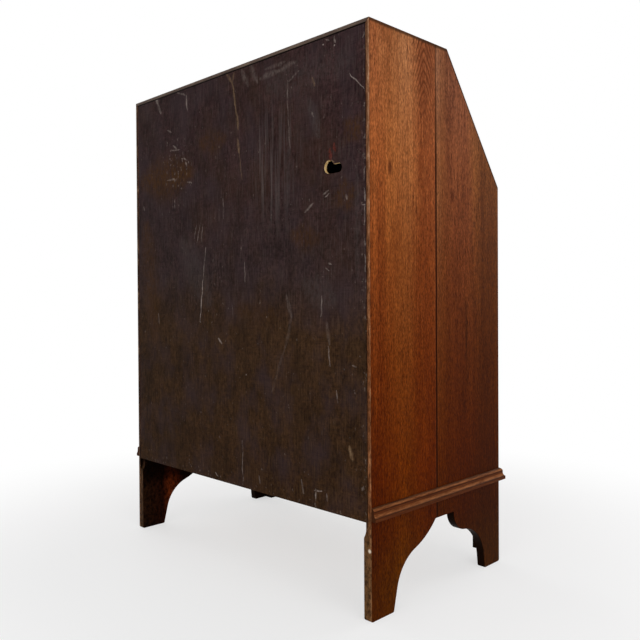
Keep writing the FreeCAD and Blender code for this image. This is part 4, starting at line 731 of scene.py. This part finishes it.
side_moulding = moulding_oak("stained_oak_side_moulding", ALONG_Y)
eased("base_moulding_left", MOULDING_ARRIS, side_moulding)
eased("base_moulding_right", MOULDING_ARRIS, side_moulding)
front_moulding = moulding_oak("stained_oak_front_moulding", ALONG_X)
eased("base_moulding_front", MOULDING_ARRIS, front_moulding)
# Only the long arrises of a drawer's face are eased, not those of its dovetails
FACE_LINE, FACE_LEAST = -197.9 * mm, 100 * mm
for level in ("bottom", "middle", "top"):
    eased(
        f"drawer_{level}_front", FACE_ARRIS, front_x,
        lambda middle, length: middle.y < FACE_LINE and length > FACE_LEAST,
    )


def lipped(name, turn, tones):
    """A board of plainer wood whose front edge is stained to match the drawer fronts."""
    material, tree, shader, colour, _ = planed_wood(name, turn, tones, (1.2, 22, 0.4), 0.5)
    _, axes, _ = lay_out(tree)
    ahead = ranged(tree, axes["Y"], -184 * mm, -187 * mm)
    stain_settings = {"blend_type": "MULTIPLY", "Color2": linear("#b48a70")}
    stain = add(tree, "MixRGB", stain_settings, {"Fac": ahead, "Color1": colour})
    paint(tree, shader, stain)
    return material


desk_oak = lipped("oak_desk_stained_in_front", ALONG_X, INNER_OAK[0])
eased("desk_board", INNER_ARRIS, desk_oak, long_arris(300 * mm))
PARTITION_TONES = ("#a87545", "#966236", "#774a26", "#523016")
partition_oak = lipped("oak_partition_stained_in_front", ALONG_Y, PARTITION_TONES)
eased("loper_partitions", INNER_ARRIS, partition_oak, long_arris(90 * mm))

# Fall: the slanting lid, a panel of stained oak with its grain across the bureau. A cleat of the same
# oak is tongued across each end to keep it flat.
UP_SLOPE = (math.radians(90) - SLOPE, 0, 0)
# To the eye it is waxed and dark brown like the drawers, with a little more sheen
FALL_OAK = (("#935832", "#804929", "#62341d", "#401d0e"), (1.5, 26, 0.5), 0.38)
fall_x, *_ = planed_wood("stained_oak_fall", ALONG_X, *FALL_OAK)
cleat_oak, *_ = planed_wood("stained_oak_cleats", UP_SLOPE, *FALL_OAK)
eased("fall_panel", FACE_ARRIS, fall_x, long_arris(300 * mm))
eased("fall_cleats", FACE_ARRIS, cleat_oak)

# Brass and steel: cast brass handles, turned brass knobs, brass hinges and lock case, and a steel bolt
# and key. They are screwed, pinned or bolted on, and dulled by handling.


def tarnished(name, roughness, patch, detail, spread, tones):
    """A bare metal with a soft gleam, darker in patches of that width in millimetres."""
    material, tree, shader = new_finish(name, {"Metallic": 1.0, "Roughness": roughness})
    place, *_ = lay_out(tree)
    cloud = {"Scale": 1 / (patch * mm), "Detail": detail, "Roughness": spread}
    tarnish = add(tree, "TexNoise", cloud, {"Vector": place})
    tone = ramped(tree, tarnish, tones)
    paint(tree, shader, tone)
    return material


brass = tarnished("aged_brass", 0.35, 5, 6.0, 0.65, [(0.3, "#7a5c2c"), (0.7, "#b08b4b")])
steel = tarnished("dull_steel", 0.45, 6, 5.0, 0.5, [(0.35, "#4e4b48"), (0.7, "#8b8884")])
metal = {"brass": brass, "steel": steel}
for name in sorted(frame["nodes"]):
    if slot_of[name] in metal:
        eased(name, 0, metal[slot_of[name]])

# Fixings: slotted raised-head brass screws in the hinge leaves and the lock, two round-headed pins in
# the escutcheon, and a hexagonal nut on a washer behind each handle post, inside the drawer.
DESK_LEVEL = 776
HINGE_LINE = Vector((0, -191.89, DESK_LEVEL)) * mm
UP_FALL = Vector((0, math.cos(SLOPE), math.sin(SLOPE)))
OUT_OF_FALL = Vector((0, -math.sin(SLOPE), math.cos(SLOPE)))
UP, BACKWARD = Vector((0, 0, 1)), Vector((0, 1, 0))


def choose(piece, wanted):
    """Selects only the faces that are wanted, for the next operator in edit mode."""
    bpy.ops.object.mode_set(mode="EDIT")
    bpy.ops.mesh.select_mode(type="FACE")
    bpy.ops.mesh.select_all(action="DESELECT")
    bpy.ops.object.mode_set(mode="OBJECT")
    for face in piece.data.polygons:
        face.select = wanted(face)


def turned_head(name, radius, rise, dome):
    """A round head standing on the origin: a short turned cylinder with its rim rounded over."""
    bpy.ops.object.select_all(action="DESELECT")
    bpy.ops.mesh.primitive_cylinder_add(vertices=24, radius=radius, depth=2 * rise, location=(0, 0, 0))
    head = bpy.context.object
    head.name = name
    choose(head, lambda face: face.normal.z > 0.9)
    bpy.ops.object.mode_set(mode="EDIT")
    bpy.ops.mesh.bevel(offset=dome, segments=3, affect="EDGES")
    bpy.ops.object.mode_set(mode="OBJECT")
    return head


def fixed(pattern, name, spot, facing, body, turn=0.0):
    """A copy of a fixing, with its own mesh, set at its spot and carried by a body."""
    pick(pattern)
    bpy.ops.object.duplicate()
    copy = bpy.context.object
    copy.name = name
    copy.rotation_mode = "QUATERNION"
    copy.rotation_quaternion = facing.to_track_quat("Z", "Y") @ Quaternion((0, 0, 1), turn)
    copy.location = spot
    bpy.ops.object.transform_apply(location=True, rotation=True, scale=True)
    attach(copy, body)


# The screw's slot is sunk between two cuts across its head
SCREW_RADIUS, SCREW_RISE, SCREW_DOME = 2.8 * mm, 0.6 * mm, 0.35 * mm
SLOT_WIDTH, SLOT_DEPTH = 0.8 * mm, 0.45 * mm
screw = turned_head("screw_pattern", SCREW_RADIUS, SCREW_RISE, SCREW_DOME)
bpy.ops.object.mode_set(mode="EDIT")
for side in (-1, 1):
    bpy.ops.mesh.select_all(action="SELECT")
    bpy.ops.mesh.bisect(plane_co=(side * SLOT_WIDTH / 2, 0, 0), plane_no=(1, 0, 0))
bpy.ops.object.mode_set(mode="OBJECT")
choose(screw, lambda face: face.normal.z > 0.3 and abs(face.center.x) < SLOT_WIDTH / 2)
bpy.ops.object.mode_set(mode="EDIT")
bpy.ops.mesh.extrude_region_move(TRANSFORM_OT_translate={"value": (0, 0, -SLOT_DEPTH)})
bpy.ops.object.mode_set(mode="OBJECT")
PIN_RADIUS, PIN_RISE, PIN_DOME = 1.2 * mm, 0.5 * mm, 0.4 * mm
pin = turned_head("pin_pattern", PIN_RADIUS, PIN_RISE, PIN_DOME)
# The nut sits on its washer, with the post's end standing out of it
WASHER_RADIUS, WASHER_RISE, WASHER_DOME = 6.5 * mm, 0.8 * mm, 0.2 * mm
NUT_RADIUS, NUT_HEIGHT, NUT_CHAMFER = 4.8 * mm, 3.2 * mm, 0.35 * mm
POST_INSET, POST_END = 2.1 * mm, 1.0 * mm
NUT_MIDDLE = (0, 0, WASHER_RISE + NUT_HEIGHT / 2)
nut = turned_head("nut_pattern", WASHER_RADIUS, WASHER_RISE, WASHER_DOME)
bpy.ops.object.mode_set(mode="EDIT")
bpy.ops.mesh.select_all(action="DESELECT")
bpy.ops.mesh.primitive_cylinder_add(vertices=6, radius=NUT_RADIUS, depth=NUT_HEIGHT, location=NUT_MIDDLE)
bpy.ops.mesh.bevel(offset=NUT_CHAMFER, segments=1, affect="EDGES")
bpy.ops.object.mode_set(mode="OBJECT")
choose(nut, lambda face: face.normal.z > 0.9 and face.center.z > 0.97 * (WASHER_RISE + NUT_HEIGHT))
bpy.ops.object.mode_set(mode="EDIT")
bpy.ops.mesh.inset(thickness=POST_INSET)
bpy.ops.mesh.extrude_region_move(TRANSFORM_OT_translate={"value": (0, 0, POST_END)})
bpy.ops.object.mode_set(mode="OBJECT")
for pattern in (screw, pin, nut):
    pick(pattern)
    bpy.ops.object.shade_smooth_by_angle(angle=SMOOTH)
    pattern.data.materials.append(brass)
# Each hinge has three screws in the desk and three in the fall, their slots turned as they came
HINGE_ASIDE, HINGE_SCREW_PITCH, DESK_SCREW_LINE, FALL_SCREW_UP = 240, 22, -176.4, 15.5
for whose, hinge_x in (("left", -HINGE_ASIDE), ("right", HINGE_ASIDE)):
    for number, along in enumerate((-HINGE_SCREW_PITCH, 0, HINGE_SCREW_PITCH)):
        turn = math.radians(40 + 55 * number + hinge_x / 8)
        spot = Vector((hinge_x + along, DESK_SCREW_LINE, DESK_LEVEL)) * mm
        body = body_of["hinge_desk_leaves"]
        fixed(screw, f"desk_hinge_screw_{whose}_{number}", spot, UP, body, turn)
        spot = HINGE_LINE + Vector((hinge_x + along, 0, 0)) * mm + UP_FALL * FALL_SCREW_UP * mm
        body = body_of["hinge_fall_leaves"]
        fixed(screw, f"fall_hinge_screw_{whose}_{number}", spot, -OUT_OF_FALL, body, turn)
# The lock has a screw in each corner, and the escutcheon a pin above and below its keyhole
LOCK_ASIDE, LOCK_LOW, LOCK_HIGH = 26, 278, 306
KEYHOLE_UP, PIN_FROM_KEYHOLE, ESCUTCHEON_FACE = 284.25, 13, 19.5
lock_corners = [(x, up) for up in (LOCK_LOW, LOCK_HIGH) for x in (-LOCK_ASIDE, LOCK_ASIDE)]
for number, (x, up) in enumerate(lock_corners):
    spot = HINGE_LINE + Vector((x, 0, 0)) * mm + UP_FALL * up * mm
    turn = math.radians(25 + 65 * number)
    fixed(screw, f"lock_screw_{number}", spot, -OUT_OF_FALL, body_of["fall_lock_case"], turn)
for number, up in enumerate((KEYHOLE_UP - PIN_FROM_KEYHOLE, KEYHOLE_UP + PIN_FROM_KEYHOLE)):
    spot = HINGE_LINE + UP_FALL * up * mm + OUT_OF_FALL * ESCUTCHEON_FACE * mm
    fixed(pin, f"escutcheon_pin_{number}", spot, OUT_OF_FALL, body_of["fall_escutcheon"])
# Each handle has a nut on both of its posts
HANDLE_HEIGHTS = {"bottom": 309.25, "middle": 522.75, "top": 698.75}
POSTS_ACROSS, DRAWER_INSIDE = (-238.2, -172.2, 172.2, 238.2), -178
for level, height in HANDLE_HEIGHTS.items():
    body = body_of[f"drawer_{level}_handle_plates"]
    for number, x in enumerate(POSTS_ACROSS):
        spot = Vector((x, DRAWER_INSIDE, height)) * mm
        turn = math.radians(17 * number)
        fixed(nut, f"drawer_{level}_handle_nut_{number}", spot, BACKWARD, body, turn)
for pattern in (screw, pin, nut):
    bpy.data.objects.remove(pattern)

# Stage: a plain pale floor just under the feet, which keeps the bureau's shadow. Farther out it goes
# over into the white background, so that no horizon shows.
FLOOR_SIZE, FLOOR_DROP = 12, 0.2 * mm
FLOOR_NEAR, FLOOR_FAR, FLOOR_GLOW = 0.5, 1.3, 0.6


def seen_straight(tree):
    """One for what the camera, a reflection or a glass sees, nought for the rays that carry light."""
    rays = add(tree, "LightPath").outputs
    seen = reckon(tree, "MAXIMUM", rays["Is Camera Ray"], rays["Is Glossy Ray"])
    return reckon(tree, "MAXIMUM", seen, rays["Is Transmission Ray"])


bpy.ops.object.select_all(action="DESELECT")
bpy.ops.mesh.primitive_plane_add(size=FLOOR_SIZE, location=(0, 0, -FLOOR_DROP))
floor = bpy.context.object
floor.name = "floor"
# To the eye it is white paper, a little grey where the bureau stands
floor_paint = bpy.data.materials.new("pale_floor")
floor_paint.use_nodes = True
tree = floor_paint.node_tree
tree.nodes.clear()
matt = add(tree, "BsdfDiffuse", {"Color": linear("#f4f4f4")})
white = add(tree, "Emission", {"Strength": 1.0})
place, *_ = lay_out(tree)
reach = add(tree, "VectorMath", {"operation": "LENGTH"}, {0: place})
fade = {"From Min": FLOOR_NEAR, "From Max": FLOOR_FAR, "interpolation_type": "SMOOTHSTEP"}
far = add(tree, "MapRange", fade, {"Value": reach.outputs["Value"]})
bright = ranged(tree, far, 0, 1, 1.0, FLOOR_GLOW)
share = reckon(tree, "MULTIPLY", bright, seen_straight(tree))
mix = add(tree, "MixShader", {}, {0: share, 1: matt, 2: white})
add(tree, "OutputMaterial", {}, {"Surface": mix})
floor.data.materials.append(floor_paint)

# Light: a white room at a plain level, and four large soft lamps that face the middle of the bureau
# from its four sides. The camera sees the room as plain white.
ROOM_LEVEL, LAMP_SIZE = 0.36, 2.4
world = bpy.data.worlds.new("white_room")
bpy.context.scene.world = world
world.use_nodes = True
tree = world.node_tree
tree.nodes.clear()
level = ranged(tree, seen_straight(tree), 0, 1, 1.0, ROOM_LEVEL)
room = add(tree, "Background", {"Color": (1, 1, 1, 1)}, {"Strength": level})
add(tree, "OutputWorld", {}, {"Surface": room})
middle = Vector((0, 0, 0.5))
for name, spot, power in (
    ("lamp_behind", (-0.7, 2.8, 1.6), 32),
    ("lamp_gable_side", (-3.0, 0.6, 1.5), 31),
    ("lamp_front", (-0.6, -3.0, 1.8), 31),
    ("lamp_right", (3.0, -0.4, 1.6), 31),
):
    bpy.ops.object.light_add(type="AREA", location=spot)
    lamp = bpy.context.object
    lamp.name = name
    lamp.data.size = LAMP_SIZE
    lamp.data.energy = power
    lamp.rotation_euler = (middle - Vector(spot)).to_track_quat("-Z", "Y").to_euler()

# Camera: behind the sitter's-left corner, nearly level, as the photograph was taken. Its place, lens
# and shift are fitted to the corners of the carcase in the photograph, which is 640 pixels wide.
AZIMUTH, ELEVATION, ROLL = (math.radians(angle) for angle in (225.017, 0.638, -0.338))
CAMERA_SPOT = (-1.1941, 1.1533, 0.5615)
SENSOR_WIDTH, LENS, SHIFT_UP = 36, 40.311, -12.28 / 640
level_reach = math.cos(ELEVATION)
backwards = Vector(
    (math.sin(AZIMUTH) * level_reach, -math.cos(AZIMUTH) * level_reach, math.sin(ELEVATION))
)
bpy.ops.object.camera_add(location=CAMERA_SPOT)
camera = bpy.context.object
camera.rotation_mode = "QUATERNION"
camera.rotation_quaternion = (-backwards).to_track_quat("-Z", "Y") @ Quaternion((0, 0, 1), ROLL)
camera.data.sensor_width = SENSOR_WIDTH
camera.data.lens = LENS
camera.data.shift_y = SHIFT_UP
bpy.context.scene.camera = camera
bpy.context.scene.view_settings.view_transform = "Standard"

bpy.context.view_layer.update()
